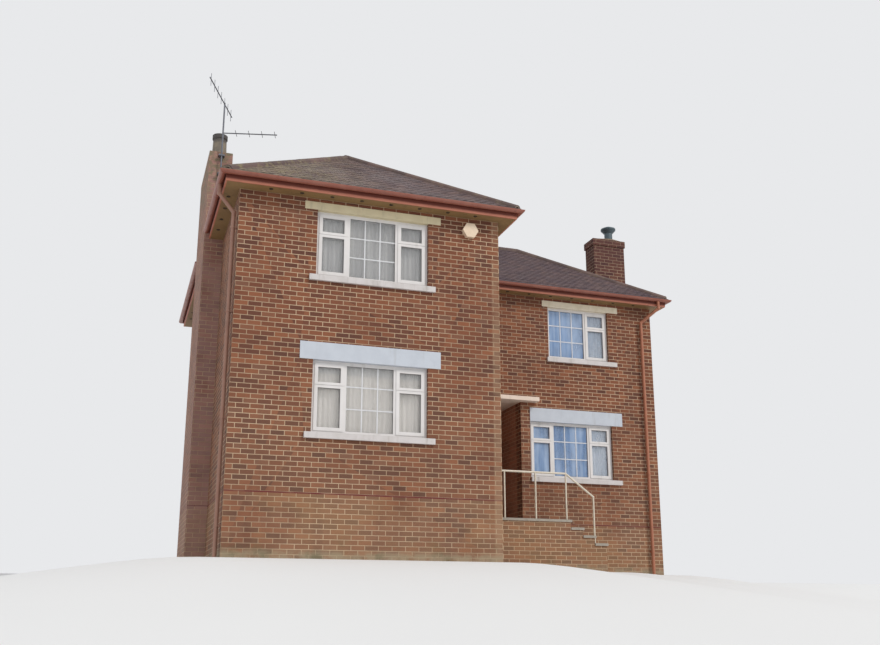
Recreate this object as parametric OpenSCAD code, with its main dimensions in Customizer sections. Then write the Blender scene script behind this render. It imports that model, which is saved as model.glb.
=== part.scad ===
// Detached two-storey brick house on an L plan, with hipped roofs, a recessed porch and two chimneys.
// Units are millimetres, Z is up, the front faces -Y.
// The origin is the middle of the overall plan, at the lowest ground level beside the walls.

/* [Plan] */
// overall width, left wall face to right wall face
house_w = 10100; // [8000:10:14000]
// width of the front block, also the depth of the wing
block_w = 4720; // [4000:10:6000]
// how far the front block stands in front of the wing
block_projection = 3780; // [2500:10:4500]
// thickness of an outer cavity wall
wall_t = 280; // [220:5:350]

/* [Levels] */
// height of one brick course with its joint
course = 82.5; // [65:0.5:90]
// courses from the base to the ground floor
floor_courses = 13; // [6:1:16]
// courses from the base to the soffit
wall_courses = 75; // [70:1:85]
// top of the upper floor above the base
upper_floor_z = 3850; // [3700:10:4000]
// thickness of the upper floor
upper_floor_t = 300; // [200:10:340]
// thickness of the ground floor
ground_floor_t = 150; // [100:10:250]
// thickness of the ceiling under the roof
ceiling_t = 60; // [30:5:120]

/* [Roof] */
// pitch of every roof slope in degrees
roof_pitch = 34.7; // [28:0.1:40]
// width of the soffit, wall face to fascia
soffit_w = 245; // [200:5:450]
// thickness of the soffit board
soffit_t = 12; // [9:1:25]
// thickness of the fascia board
fascia_t = 25; // [18:1:35]
// height of the roof edge above the soffit
edge_h = 175; // [140:5:220]
// how far the tiles hang over the fascia
tile_overhang = 50; // [30:5:70]
// vertical thickness of the roof shell
roof_t = 160; // [120:5:220]
// vertical thickness of the tiles over the fascia
tile_t = 35; // [25:1:45]
// width of a ridge or hip tile
ridge_tile_w = 240; // [180:5:300]
// height of a ridge or hip tile above the roof planes
ridge_tile_h = 80; // [40:5:110]
// outer radius of the half-round gutter
gutter_r = 58; // [50:1:70]
// thickness of the gutter
gutter_t = 5; // [3:0.5:8]

/* [Rainwater pipes] */
// outer diameter of a downpipe
pipe_d = 68; // [60:1:80]
// wall face to the centre of a downpipe
pipe_off = 70; // [50:1:100]
// left downpipe, distance behind the front wall face
left_pipe_y = 150; // [100:10:600]
// wing downpipe, distance from the right wall face
wing_pipe_in = 290; // [150:10:800]
// wing gutter outlet, distance beyond the right wall face
wing_outlet_out = 50; // [-400:10:200]
// height of the lower bend of a downpipe neck
neck_z = 5800; // [5500:10:6000]

/* [Chimneys] */
// projection of the left chimney breast from the wall
breast_out = 360; // [225:5:450]
// width of the left stack, front view
left_stack_w = 450; // [400:10:600]
// length of the left chimney along the wall
left_stack_l = 1800; // [900:10:2200]
// front of the left chimney behind the front wall face
left_stack_y = 2500; // [2000:10:3500]
// top of the left stack above the base
left_stack_top = 8030; // [7500:10:8800]
// width of the wing stack, front view
wing_stack_w = 840; // [600:10:1100]
// depth of the wing stack
wing_stack_l = 450; // [400:10:700]
// front of the wing stack behind the wing front wall face
wing_stack_y = 1050; // [800:10:1800]
// top of the wing stack above the base
wing_stack_top = 8280; // [7800:10:8800]
// how far the top courses of a stack stand out
stack_oversail = 25; // [15:5:50]
// courses in the oversailing top of the wing stack
oversail_courses = 2; // [1:1:3]
// height of the mortar slope on a stack
mortar_h = 90; // [40:5:150]
// height of the chimney pot
pot_h = 490; // [250:10:600]
// centre of the chimney pot behind the front of the left stack
pot_back = 500; // [250:10:900]
// outer diameter of the chimney pot
pot_d = 290; // [220:10:320]
// height of the metal flue above the mortar
cowl_h = 340; // [250:10:600]
// metal flue to the right of the middle of the wing stack
flue_side = 125; // [-200:5:200]
// diameter of the metal flue
flue_d = 200; // [120:10:260]
// diameter of the flue's flared cap
cowl_d = 370; // [260:10:420]
// thickness of the lead flashing
lead_t = 4; // [2:0.5:6]
// height of the lead flashing up the brickwork
lead_h = 150; // [100:10:200]
// width of the lead apron on the tiles
lead_w = 150; // [100:10:250]

/* [Windows] */
// width of a three-light window
wide_window = 2020; // [1600:10:2400]
// width of a two-light window
narrow_window = 1520; // [1200:10:1800]
// courses from the base to the lower sill top
lower_sill_courses = 25; // [22:1:28]
// courses from the base to the lower window head
lower_head_courses = 40; // [36:1:43]
// courses from the base to the upper sill top
upper_sill_courses = 58; // [54:1:61]
// courses from the base to the upper window head
upper_head_courses = 72.5; // [69:0.5:73]
// right edge of both wing windows to the right wall face
wing_window_in = 1130; // [800:10:1500]
// width of an opening side light, frame edge to mullion centre
side_light = 570; // [450:10:700]
// face width of an outer window frame member
frame_w = 58; // [45:1:80]
// depth of a window frame
frame_d = 70; // [55:1:90]
// face width of an opening sash member
sash_w = 48; // [35:1:60]
// how far an opening sash stands out of the frame
sash_out = 14; // [8:1:20]
// how far an opening sash laps over the frame
sash_lap = 12; // [6:1:18]
// gap between a vent and the casement under it
sash_gap = 8; // [5:1:15]
// height of the top-hung vents
vent_h = 355; // [250:5:420]
// set-back of the window frames from the wall face
reveal = 75; // [40:5:110]
// thickness of the double glazing
glass_t = 24; // [18:1:32]
// height of a sill
sill_h = 100; // [60:5:150]
// how far a sill stands out of the wall
sill_out = 55; // [30:5:90]
// length of a three-light sill
wide_sill = 2256; // [2000:10:2500]
// length of a block lintel
block_lintel = 2475; // [2200:5:2700]
// height of the thin upper lintels
thin_lintel_h = 140; // [100:5:180]
// height of the deep lower lintels
deep_lintel_h = 300; // [200:5:350]
// how far a lintel stands out of the wall
lintel_out = 12; // [5:1:30]
// depth of a lintel in the wall
lintel_in = 110; // [90:5:150]

/* [Porch] */
// width of the porch recess
porch_w = 2010; // [1600:10:2400]
// depth of the porch recess behind the wing front
porch_depth = 1300; // [1000:10:1600]
// width of the brick pier and of the porch side wall
pier_w = 235; // [215:5:350]
// thickness of the canopy slab
canopy_t = 90; // [60:5:130]
// top of the canopy slab above the base
canopy_z = 3800; // [3650:10:3830]
// how far the canopy stands out of the wall
canopy_out = 200; // [100:10:500]
// how far the canopy runs on past the porch recess
canopy_past = 370; // [200:10:800]
// width of the front door opening
door_w = 960; // [850:10:1100]
// height of the front door opening
door_h = 2130; // [2000:10:2250]
// right edge of the front door opening to the porch side wall
door_side = 120; // [60:10:300]
// height of the door sill
sill_step = 30; // [15:5:60]
// set-back of the door frame from the porch back wall face
door_in = 20; // [0:5:100]
// width of the door's stiles
door_stile = 100; // [80:5:140]
// thickness of the front door
door_t = 44; // [38:1:60]
// face width of the door frame
door_frame_w = 60; // [40:5:90]
// depth of the door frame
door_frame_d = 100; // [80:5:140]

/* [Landing and steps] */
// landing width in front of the wing wall
landing_out = 1000; // [800:10:1400]
// width of the landing in front of the wing
landing_w = 2650; // [2400:10:3200]
// thickness of the landing slab and of the treads
tread_t = 50; // [40:5:80]
// how far a tread or the landing slab stands over the masonry
nosing = 25; // [10:5:40]
// number of steps beside the landing
step_count = 3; // [2:1:5]
// height of one riser
riser = 155; // [140:5:200]
// depth of one tread
going = 270; // [220:5:320]
// height of the handrail above the landing
rail_h = 960; // [850:10:1100]
// diameter of the handrail tube
rail_d = 42; // [32:1:60]
// diameter of a handrail post
post_d = 36; // [26:1:50]
// distance between handrail posts
post_gap = 690; // [500:10:1200]
// rail line behind the front edge of the landing
rail_in = 60; // [40:5:120]

/* [Small pieces] */
// height of the aerial mast above the left stack
mast_h = 1030; // [600:10:1500]
// length of the lower aerial boom
low_boom_l = 1060; // [600:10:1400]
// length of an aerial element
element_l = 260; // [120:10:400]
// number of elements on the upper aerial boom
element_count = 7; // [3:1:9]
// diameter of the aerial mast
mast_d = 32; // [25:1:50]
// length of the upper aerial boom
boom_l = 1550; // [800:10:1800]
// direction of the upper aerial boom, degrees from straight back
boom_turn = 22; // [-90:1:90]
// direction of the lower aerial boom, degrees from the right
low_boom_turn = -14; // [-90:1:90]
// diameter of an aerial boom
boom_d = 22; // [15:1:30]
// diameter of an aerial element
element_d = 10; // [6:1:14]
// gap between the stack and the aerial mast
bracket_out = 70; // [40:5:150]
// width of the alarm box across its corners
alarm_w = 300; // [200:10:360]
// depth of the alarm box
alarm_d = 85; // [50:5:120]
// alarm box centre to the right end of the front block
alarm_in = 570; // [300:10:900]
// alarm box centre below the soffit
alarm_drop = 253; // [180:5:400]
// depth of a hanging net curtain with its folds
curtain_t = 50; // [30:5:80]
// gap between a window frame and its net curtain
curtain_gap = 30; // [10:5:60]

/* [Hidden] */
house_d = block_projection + block_w;
floor_z = floor_courses * course;
wall_h = wall_courses * course;
lower_sill_z = lower_sill_courses * course;
lower_head_z = lower_head_courses * course;
upper_sill_z = upper_sill_courses * course;
upper_head_z = upper_head_courses * course;
fascia_out = soffit_w + fascia_t;
eave_out = fascia_out + tile_overhang;
eave_z = wall_h + edge_h;
slope = tan(roof_pitch);
roof_rise = (block_w / 2 + eave_out) * slope;
ridge_z = eave_z + roof_rise;
fascia_top = eave_z - tile_t + tile_overhang * slope;
gutter_z = fascia_top - 22;
gutter_x = fascia_out + gutter_r;
wing_y = block_projection;
wing_ridge_y = wing_y + block_w / 2;
block_mid = block_w / 2;
return_x = block_w - wall_t;
porch_right = block_w + porch_w;
canopy_right = porch_right + canopy_past;
landing_right = block_w + landing_w;
wing_pipe_x = house_w - wing_pipe_in;
wing_outlet_x = house_w + wing_outlet_out;
// swan neck bends are a little fatter than the pipe
pipe_bend_d = pipe_d + 14;
wing_window_right = house_w - wing_window_in;
alarm_x = block_w - alarm_in;
porch_back_y = wing_y + porch_depth;
wing_stack_x = house_w - wing_stack_w;
flue_x = wing_stack_x + wing_stack_w / 2 + flue_side;
flue_y = wing_y + wing_stack_y + wing_stack_l / 2;
pot_x = left_stack_w / 2 - breast_out;
pot_y = left_stack_y + pot_back;
block_window_x = block_mid - wide_window / 2;
rear_window_x = [block_window_x, house_w - block_mid - wide_window / 2];
side_window_y = wing_ridge_y - narrow_window / 2;
clip_z = [for (part = [0.08, 0.36, 0.65, 0.89]) part * wall_h];
lower_h = lower_head_z - lower_sill_z;
upper_h = upper_head_z - upper_sill_z;
landing_z = floor_z - 10;
landing_y = wing_y - landing_out;
rail_y = landing_y + rail_in;
rail_z = landing_z + rail_h;
post_count = floor((landing_w - 2 * rail_in) / post_gap) + 1;
post_x = [for (i = [0 : post_count - 1]) landing_right - rail_in - i * post_gap];
last_post_x = landing_right + going * (step_count - 0.9);
mullions_wide = [side_light, wide_window - side_light];
mullions_narrow = [narrow_window - side_light];
opens_wide = [true, false, true];
opens_narrow = [false, true];
eps = 1;
$fn = 24;

// plan of the house, moved out by d
function l_plan(d) = [
    [-d, -d],
    [block_w + d, -d],
    [block_w + d, wing_y - d],
    [house_w + d, wing_y - d],
    [house_w + d, house_d + d],
    [-d, house_d + d]
];

// moves a piece from the front left corner of the plan to the shared frame
module place() {
    translate([-house_w / 2, -house_d / 2, 0]) children();
}

// box between two corners
module span(a, b) {
    translate(a) cube(b - a);
}

// round bar between two points
module bar(a, b, d) {
    v = b - a;
    len = norm(v);
    translate(a)
        rotate([0, acos(v[2] / len), atan2(v[1], v[0])])
            cylinder(h = len, d = d);
}

// sweeps a profile of [distance out, height] points round the house plan with mitred corners
module plan_sweep(profile) {
    n = len(profile);
    pts = [for (k = [0 : n - 1]) for (p = l_plan(profile[k][0])) [p[0], p[1], profile[k][1]]];
    quads = [for (k = [0 : n - 1]) for (i = [0 : 5])
        [k * 6 + i, ((k + 1) % n) * 6 + i, ((k + 1) % n) * 6 + (i + 1) % 6, k * 6 + (i + 1) % 6]];
    polyhedron(points = pts, faces = quads, convexity = 6);
}

// one hipped roof body over a rectangle, its eaves at height z
module hip_body(x0, y0, x1, y1, z) {
    half = min(x1 - x0, y1 - y0) / 2;
    top = z + half * slope;
    ends = (x1 - x0 > y1 - y0)
        ? [[x0 + half, y0 + half], [x1 - half, y0 + half]]
        : [[x0 + half, y0 + half], [x0 + half, y1 - half]];
    points = [
        [x0, y0, z], [x1, y0, z], [x1, y1, z], [x0, y1, z],
        [ends[0][0], ends[0][1], top], [ends[1][0], ends[1][1], top]
    ];
    hull() polyhedron(points = points, faces = (x1 - x0 > y1 - y0)
        ? [[0, 1, 5, 4], [1, 2, 5], [2, 3, 4, 5], [3, 0, 4], [3, 2, 1, 0]]
        : [[0, 1, 4], [1, 2, 5, 4], [2, 3, 5], [3, 0, 4, 5], [3, 2, 1, 0]]);
}

// the whole roof volume, eaves moved out by d from the walls at height z
module roof_volume(d, z) {
    hip_body(-d, -d, block_w + d, house_d + d, z);
    hip_body(-d, wing_y - d, house_w + d, house_d + d, z);
}

// the left stack with the way out through the eaves beside it
module left_stack_space(grow) {
    span([-breast_out - grow, left_stack_y - grow, 0],
        [left_stack_w - breast_out + grow, left_stack_y + left_stack_l + grow, ridge_z + roof_rise]);
}

module left_eaves_gap(side) {
    span([-2 * eave_out, left_stack_y - side, 0],
        [left_stack_w - breast_out, left_stack_y + left_stack_l + side, ridge_z + roof_rise]);
}

module wing_stack_space(grow) {
    span([wing_stack_x - grow, wing_y + wing_stack_y - grow, wall_h],
        [house_w + grow, wing_y + wing_stack_y + wing_stack_l + grow, ridge_z + roof_rise]);
}

// left and right edge of light i in a window w wide with mullions centred at c
function light_left(i, c) = i == 0 ? frame_w : c[i - 1] + frame_w / 2;
function light_right(i, w, c) = i == len(c) ? w - frame_w : c[i] - frame_w / 2;

// window: w wide, h high, standing on z = 0 with its outer face at y = 0
module window_frame(w, h, c, opens) {
    vent_z = h - frame_w - vent_h;
    difference() {
        union() {
            cube([w, frame_d, h]);
            for (i = [0 : len(c)])
                if (opens[i])
                    span([light_left(i, c) - sash_lap, -sash_out, frame_w - sash_lap],
                        [light_right(i, w, c) + sash_lap, eps, h - frame_w + sash_lap]);
        }
        for (i = [0 : len(c)])
            if (opens[i]) {
                span([light_left(i, c) + sash_w, -frame_d, frame_w + sash_w],
                    [light_right(i, w, c) - sash_w, 2 * frame_d, vent_z - sash_w]);
                span([light_left(i, c) + sash_w, -frame_d, vent_z + sash_w],
                    [light_right(i, w, c) - sash_w, 2 * frame_d, h - frame_w - sash_w]);
                span([light_left(i, c) - sash_lap - eps, -frame_d, vent_z - sash_gap / 2],
                    [light_right(i, w, c) + sash_lap + eps, 0, vent_z + sash_gap / 2]);
            } else {
                span([light_left(i, c), -frame_d, frame_w], [light_right(i, w, c), 2 * frame_d, h - frame_w]);
            }
    }
}

module window_glass(w, h, c, opens) {
    vent_z = h - frame_w - vent_h;
    y0 = (frame_d - glass_t) / 2;
    y1 = y0 + glass_t;
    for (i = [0 : len(c)])
        if (opens[i]) {
            span([light_left(i, c) + sash_w, y0, frame_w + sash_w],
                [light_right(i, w, c) - sash_w, y1, vent_z - sash_w]);
            span([light_left(i, c) + sash_w, y0, vent_z + sash_w],
                [light_right(i, w, c) - sash_w, y1, h - frame_w - sash_w]);
        } else {
            span([light_left(i, c), y0, frame_w], [light_right(i, w, c), y1, h - frame_w]);
        }
}

// sets a window in the front block, in the wing, in the rear wall and in the side walls
module at_block(z) {
    translate([block_window_x, reveal, z]) children();
}

module at_wing(w, z) {
    translate([wing_window_right - w, wing_y + reveal, z]) children();
}

module at_rear(x, z) {
    translate([x + wide_window, house_d - reveal, z]) rotate([0, 0, 180]) children();
}

module at_left(z) {
    translate([reveal, side_window_y + narrow_window, z]) rotate([0, 0, -90]) children();
}

module at_right(z) {
    translate([house_w - reveal, side_window_y, z]) rotate([0, 0, 90]) children();
}

// opening through a wall behind the window position
module wall_hole(w, h) {
    translate([0, -reveal - eps, 0]) cube([w, wall_t + 2 * eps, h]);
}

// sill and lintel in window coordinates
module sill(left, right) {
    translate([-left, -reveal - sill_out, -sill_h]) cube([left + right, sill_out + reveal + frame_d, sill_h]);
}

module lintel(left, right, top, h) {
    translate([-left, -reveal - lintel_out, top]) cube([left + right, lintel_out + lintel_in, h]);
}

wide_sill_side = (wide_sill - wide_window) / 2;
block_lintel_side = (block_lintel - wide_window) / 2;

module all_sills() {
    at_block(lower_sill_z) sill(wide_sill_side, wide_window + wide_sill_side);
    at_block(upper_sill_z) sill(wide_sill_side, wide_window + wide_sill_side);
    at_wing(wide_window, lower_sill_z) sill(0, wide_window + 180);
    at_wing(narrow_window, upper_sill_z) sill(50, narrow_window + 180);
    for (x = rear_window_x) {
        at_rear(x, lower_sill_z) sill(wide_sill_side, wide_window + wide_sill_side);
        at_rear(x, upper_sill_z) sill(wide_sill_side, wide_window + wide_sill_side);
    }
    for (z = [lower_sill_z, upper_sill_z]) {
        at_left(z) sill(wide_sill_side, narrow_window + wide_sill_side);
        at_right(z) sill(wide_sill_side, narrow_window + wide_sill_side);
    }
}

module all_lintels() {
    at_block(lower_sill_z) lintel(block_lintel_side, wide_window + block_lintel_side, lower_h, deep_lintel_h);
    at_block(upper_sill_z) lintel(block_lintel_side, wide_window + block_lintel_side, upper_h, thin_lintel_h);
    at_wing(wide_window, lower_sill_z) lintel(0, wide_window + 260, lower_h, deep_lintel_h);
    at_wing(narrow_window, upper_sill_z) lintel(140, narrow_window + 260, upper_h, thin_lintel_h);
    for (x = rear_window_x) {
        at_rear(x, lower_sill_z)
            lintel(block_lintel_side, wide_window + block_lintel_side, lower_h, deep_lintel_h);
        at_rear(x, upper_sill_z)
            lintel(block_lintel_side, wide_window + block_lintel_side, upper_h, thin_lintel_h);
    }
    at_left(lower_sill_z)
        lintel(block_lintel_side, narrow_window + block_lintel_side, lower_h, deep_lintel_h);
    at_left(upper_sill_z)
        lintel(block_lintel_side, narrow_window + block_lintel_side, upper_h, thin_lintel_h);
    at_right(lower_sill_z)
        lintel(block_lintel_side, narrow_window + block_lintel_side, lower_h, deep_lintel_h);
    at_right(upper_sill_z)
        lintel(block_lintel_side, narrow_window + block_lintel_side, upper_h, thin_lintel_h);
}

module block_front_wall() {
    color([0.55, 0.32, 0.25]) place() difference() {
        span([0, 0, 0], [block_w, wall_t, wall_h]);
        at_block(lower_sill_z) wall_hole(wide_window, lower_h);
        at_block(upper_sill_z) wall_hole(wide_window, upper_h);
        all_sills();
        all_lintels();
    }
}

module left_wall() {
    color([0.55, 0.32, 0.25]) place() difference() {
        span([0, wall_t, 0], [wall_t, house_d - wall_t, wall_h]);
        at_left(lower_sill_z) wall_hole(narrow_window, lower_h);
        at_left(upper_sill_z) wall_hole(narrow_window, upper_h);
        all_sills();
        all_lintels();
    }
}

module block_return_wall() {
    color([0.55, 0.32, 0.25]) place() {
        difference() {
            span([return_x, wall_t, 0], [block_w, porch_back_y + wall_t, wall_h]);
            span([return_x - eps, wing_y + wall_t, canopy_z], [block_w + eps, house_d, wall_h + eps]);
        }
    }
}

module wing_front_wall() {
    color([0.55, 0.32, 0.25]) place() difference() {
        span([block_w, wing_y, 0], [house_w, wing_y + wall_t, wall_h]);
        span([block_w - eps, wing_y - eps, -eps], [porch_right, wing_y + wall_t + eps, canopy_z]);
        at_wing(wide_window, lower_sill_z) wall_hole(wide_window, lower_h);
        at_wing(narrow_window, upper_sill_z) wall_hole(narrow_window, upper_h);
        all_sills();
        all_lintels();
    }
}

module wing_right_wall() {
    color([0.55, 0.32, 0.25]) place() difference() {
        span([house_w - wall_t, wing_y + wall_t, 0], [house_w, house_d - wall_t, wall_h]);
        at_right(lower_sill_z) wall_hole(narrow_window, lower_h);
        at_right(upper_sill_z) wall_hole(narrow_window, upper_h);
        all_sills();
        all_lintels();
    }
}

module rear_wall() {
    color([0.55, 0.32, 0.25]) place() difference() {
        span([0, house_d - wall_t, 0], [house_w, house_d, wall_h]);
        for (x = rear_window_x) {
            at_rear(x, lower_sill_z) wall_hole(wide_window, lower_h);
            at_rear(x, upper_sill_z) wall_hole(wide_window, upper_h);
        }
        all_sills();
        all_lintels();
    }
}

module porch_side_wall() {
    color([0.5, 0.28, 0.22]) place()
        span([porch_right, wing_y + wall_t, 0], [porch_right + pier_w, porch_back_y + wall_t, canopy_z]);
}

module porch_back_wall() {
    color([0.5, 0.28, 0.22]) place() difference() {
        span([block_w, porch_back_y, 0], [porch_right, porch_back_y + wall_t, canopy_z]);
        span([porch_right - door_side - door_w, porch_back_y - eps, floor_z],
            [porch_right - door_side, porch_back_y + wall_t + eps, floor_z + door_h]);
    }
}

module ground_floor() {
    color([0.6, 0.55, 0.48]) place() translate([0, 0, floor_z - ground_floor_t])
        linear_extrude(height = ground_floor_t) difference() {
            polygon(l_plan(-wall_t));
            translate([return_x, wing_y]) square([porch_right + pier_w - return_x, porch_depth + wall_t]);
        }
}

module upper_floor() {
    color([0.6, 0.55, 0.48]) place() difference() {
        translate([0, 0, upper_floor_z - upper_floor_t])
            linear_extrude(height = upper_floor_t) polygon(l_plan(-wall_t));
        span([return_x, wing_y, 0], [porch_right + pier_w, porch_back_y + wall_t, canopy_z]);
    }
}

module ceiling() {
    color([0.9, 0.9, 0.88]) place() translate([0, 0, wall_h - ceiling_t])
        linear_extrude(height = ceiling_t) polygon(l_plan(-wall_t));
}

// tiles and rafters as one shell, carried on the walls, with thin tiles over the fascia
module roof() {
    over_wall = eave_z + eave_out * slope - roof_t / 2;
    color([0.42, 0.33, 0.3]) place() difference() {
        union() {
            difference() {
                roof_volume(eave_out, eave_z);
                roof_volume(eave_out, eave_z - tile_t);
            }
            difference() {
                intersection() {
                    roof_volume(eave_out, eave_z);
                    translate([0, 0, wall_h + soffit_t])
                        linear_extrude(height = 2 * roof_rise) polygon(l_plan(soffit_w));
                }
                roof_volume(eave_out, eave_z - roof_t);
            }
            plan_sweep([[-wall_t, wall_h], [0, wall_h], [0, over_wall], [-wall_t, over_wall]]);
        }
        left_eaves_gap(0);
        wing_stack_space(0);
    }
}

// capping run along one roof line, its rounded back ridge_tile_h above the line
module ridge_run(a, b) {
    v = b - a;
    len = norm(v);
    r = ridge_tile_w / 2;
    back = [for (t = [0 : 22.5 : 180]) [r * cos(t), ridge_tile_h - r + r * sin(t)]];
    translate(a)
        rotate([0, 0, atan2(v[1], v[0]) - 90])
            rotate([90 - asin(v[2] / len), 0, 180])
                translate([0, 0, -eps])
                    linear_extrude(height = len + 2 * eps) polygon(concat(back, [[-r, -r * 2], [r, -r * 2]]));
}

// run of capping over every ridge and hip, cut off at the eaves
module ridge_runs() {
    far = house_d + eave_out;
    right = house_w + eave_out;
    crown = [block_mid, block_mid, ridge_z];
    elbow = [block_mid, wing_ridge_y, ridge_z];
    wing_end = [house_w - block_mid, wing_ridge_y, ridge_z];
    intersection() {
        union() {
            ridge_run(crown, elbow);
            ridge_run(elbow, wing_end);
            ridge_run(crown, [-eave_out, -eave_out, eave_z]);
            ridge_run(crown, [block_w + eave_out, -eave_out, eave_z]);
            ridge_run(elbow, [-eave_out, far, eave_z]);
            ridge_run(wing_end, [right, wing_y - eave_out, eave_z]);
            ridge_run(wing_end, [right, far, eave_z]);
        }
        translate([0, 0, eave_z]) linear_extrude(height = 2 * roof_rise) polygon(l_plan(eave_out));
    }
}

module ridge_tiles() {
    color([0.36, 0.28, 0.26]) place() difference() {
        ridge_runs();
        roof_volume(eave_out, eave_z);
    }
}

module soffit() {
    color([0.45, 0.4, 0.28]) place() difference() {
        plan_sweep([[0, wall_h], [soffit_w, wall_h], [soffit_w, wall_h + soffit_t], [0, wall_h + soffit_t]]);
        left_eaves_gap(0);
    }
}

module fascia() {
    color([0.62, 0.33, 0.26]) place() difference() {
        plan_sweep([[soffit_w, wall_h], [fascia_out, wall_h], [fascia_out, fascia_top],
            [soffit_w, fascia_top]]);
        left_eaves_gap(0);
    }
}

// half-round gutter with mitred corners and stop ends beside the left stack
module gutters() {
    outer = [for (a = [180 : 15 : 360]) [gutter_x + gutter_r * cos(a), gutter_z + gutter_r * sin(a)]];
    inner = [for (a = [360 : -15 : 180])
        [gutter_x + (gutter_r - gutter_t) * cos(a), gutter_z + (gutter_r - gutter_t) * sin(a)]];
    color([0.35, 0.15, 0.12]) place() {
        difference() {
            plan_sweep(concat(outer, inner));
            left_eaves_gap(gutter_t);
        }
        intersection() {
            plan_sweep(outer);
            difference() {
                left_eaves_gap(3 * gutter_t);
                left_eaves_gap(gutter_t);
            }
        }
    }
}

// downpipe down the wall from a bend below the soffit, with its neck up to the gutter outlet
module downpipe(outlet, bend, foot) {
    knee = [outlet[0], outlet[1], wall_h - 70];
    bar(outlet, knee, pipe_d);
    translate(knee) sphere(d = pipe_bend_d);
    bar(knee, bend, pipe_d);
    translate(bend) sphere(d = pipe_bend_d);
    bar(bend, foot, pipe_d);
    for (z = clip_z) translate([foot[0], foot[1], z]) cylinder(h = 40, d = pipe_d + 16);
}

module left_downpipe() {
    color([0.35, 0.15, 0.12]) place() {
        downpipe([-gutter_x, left_pipe_y, gutter_z - gutter_r], [-pipe_off, left_pipe_y, neck_z],
            [-pipe_off, left_pipe_y, 0]);
        for (z = clip_z) span([-pipe_off, left_pipe_y - 30, z], [0, left_pipe_y + 30, z + 40]);
    }
}

module wing_downpipe() {
    color([0.35, 0.15, 0.12]) place() {
        downpipe([wing_outlet_x, wing_y - gutter_x, gutter_z - gutter_r],
            [wing_pipe_x, wing_y - pipe_off, neck_z], [wing_pipe_x, wing_y - pipe_off, 0]);
        for (z = clip_z) span([wing_pipe_x - 30, wing_y - pipe_off, z], [wing_pipe_x + 30, wing_y, z + 40]);
    }
}

module left_chimney() {
    color([0.5, 0.3, 0.24]) place() {
        span([-breast_out, left_stack_y, 0], [0, left_stack_y + left_stack_l, wall_h]);
        span([-breast_out, left_stack_y, wall_h - eps],
            [left_stack_w - breast_out, left_stack_y + left_stack_l, left_stack_top]);
        translate([pot_x, pot_y, left_stack_top - eps])
            cylinder(h = mortar_h + eps, d1 = left_stack_w - 20, d2 = pot_d + 40);
    }
}

module left_chimney_pot() {
    color([0.6, 0.5, 0.42]) place()
        translate([pot_x, pot_y, left_stack_top + mortar_h])
            rotate_extrude($fn = 32) polygon([
                [pot_d * 0.36, 0], [pot_d * 0.5, 0], [pot_d * 0.46, pot_h * 0.8],
                [pot_d * 0.52, pot_h * 0.84], [pot_d * 0.52, pot_h], [pot_d * 0.36, pot_h]
            ]);
}

module wing_chimney() {
    x1 = house_w;
    y0 = wing_y + wing_stack_y;
    y1 = y0 + wing_stack_l;
    sail_z = wing_stack_top - oversail_courses * course;
    o = stack_oversail;
    color([0.5, 0.3, 0.24]) place() {
        span([wing_stack_x, y0, wall_h], [x1, y1, wing_stack_top]);
        span([wing_stack_x - o, y0 - o, sail_z], [x1 + o, y1 + o, wing_stack_top]);
        hull() {
            span([wing_stack_x, y0, wing_stack_top - eps], [x1, y1, wing_stack_top]);
            translate([flue_x, flue_y, wing_stack_top])
                cylinder(h = mortar_h, d = flue_d + 60);
        }
    }
}

module wing_flue_cowl() {
    r = flue_d / 2;
    color([0.25, 0.25, 0.26]) place()
        translate([flue_x, flue_y, wing_stack_top + mortar_h])
            rotate_extrude($fn = 32) polygon([
                [0, 0], [r, 0], [r, cowl_h * 0.5], [cowl_d / 2, cowl_h * 0.78], [cowl_d / 2, cowl_h * 0.88],
                [r, cowl_h], [0, cowl_h]
            ]);
}

// lead up the brickwork and out on the tiles round both stacks
module chimney_flashing() {
    color([0.45, 0.46, 0.48]) place() difference() {
        union() {
            intersection() {
                union() {
                    left_stack_space(lead_t);
                    wing_stack_space(lead_t);
                }
                translate([0, 0, lead_h]) roof_volume(eave_out, eave_z);
            }
            intersection() {
                union() {
                    left_stack_space(lead_w);
                    wing_stack_space(lead_w);
                }
                translate([0, 0, lead_t]) roof_volume(eave_out, eave_z);
            }
        }
        left_eaves_gap(0);
        wing_stack_space(0);
        roof_volume(eave_out, eave_z);
        ridge_runs();
        span([-2 * eave_out, left_stack_y - lead_w - eps, 0],
            [-breast_out, left_stack_y + left_stack_l + lead_w + eps, ridge_z]);
        span([house_w + lead_t, wing_y, 0], [house_w + lead_w + eps, house_d, wall_h + edge_h]);
    }
}

// mast strapped to the left stack with two aerials on it
module tv_aerial() {
    top = left_stack_top + mast_h;
    mast_y = left_stack_y - mast_d / 2 - bracket_out;
    low_z = left_stack_top + mast_h * 0.36;
    front = boom_l * 0.66;
    pitch = boom_l * 0.9 / (element_count - 1);
    color([0.55, 0.56, 0.58]) place() translate([pot_x, mast_y, 0]) {
        bar([0, 0, left_stack_top - mast_h * 0.6], [0, 0, top], mast_d);
        for (z = [left_stack_top - mast_h * 0.5, left_stack_top - mast_h * 0.12])
            span([-60, -mast_d / 2 - 6, z], [60, bracket_out + mast_d / 2, z + 30]);
        translate([0, 0, top - mast_d]) rotate([0, 0, -boom_turn]) {
            bar([0, -front, 0], [0, boom_l - front, 0], boom_d);
            for (i = [0 : element_count - 1])
                translate([0, boom_l * 0.05 - front + i * pitch, 0])
                    bar([0, 0, -element_l / 2], [0, 0, element_l / 2], element_d);
        }
        translate([0, 0, low_z]) rotate([0, 0, low_boom_turn]) {
            bar([0, 0, 0], [low_boom_l, 0, 0], boom_d);
            for (i = [1 : 4])
                translate([i * low_boom_l * 0.24, 0, 0])
                    bar([0, -element_l / 2, 0], [0, element_l / 2, 0], element_d);
        }
    }
}

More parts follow.
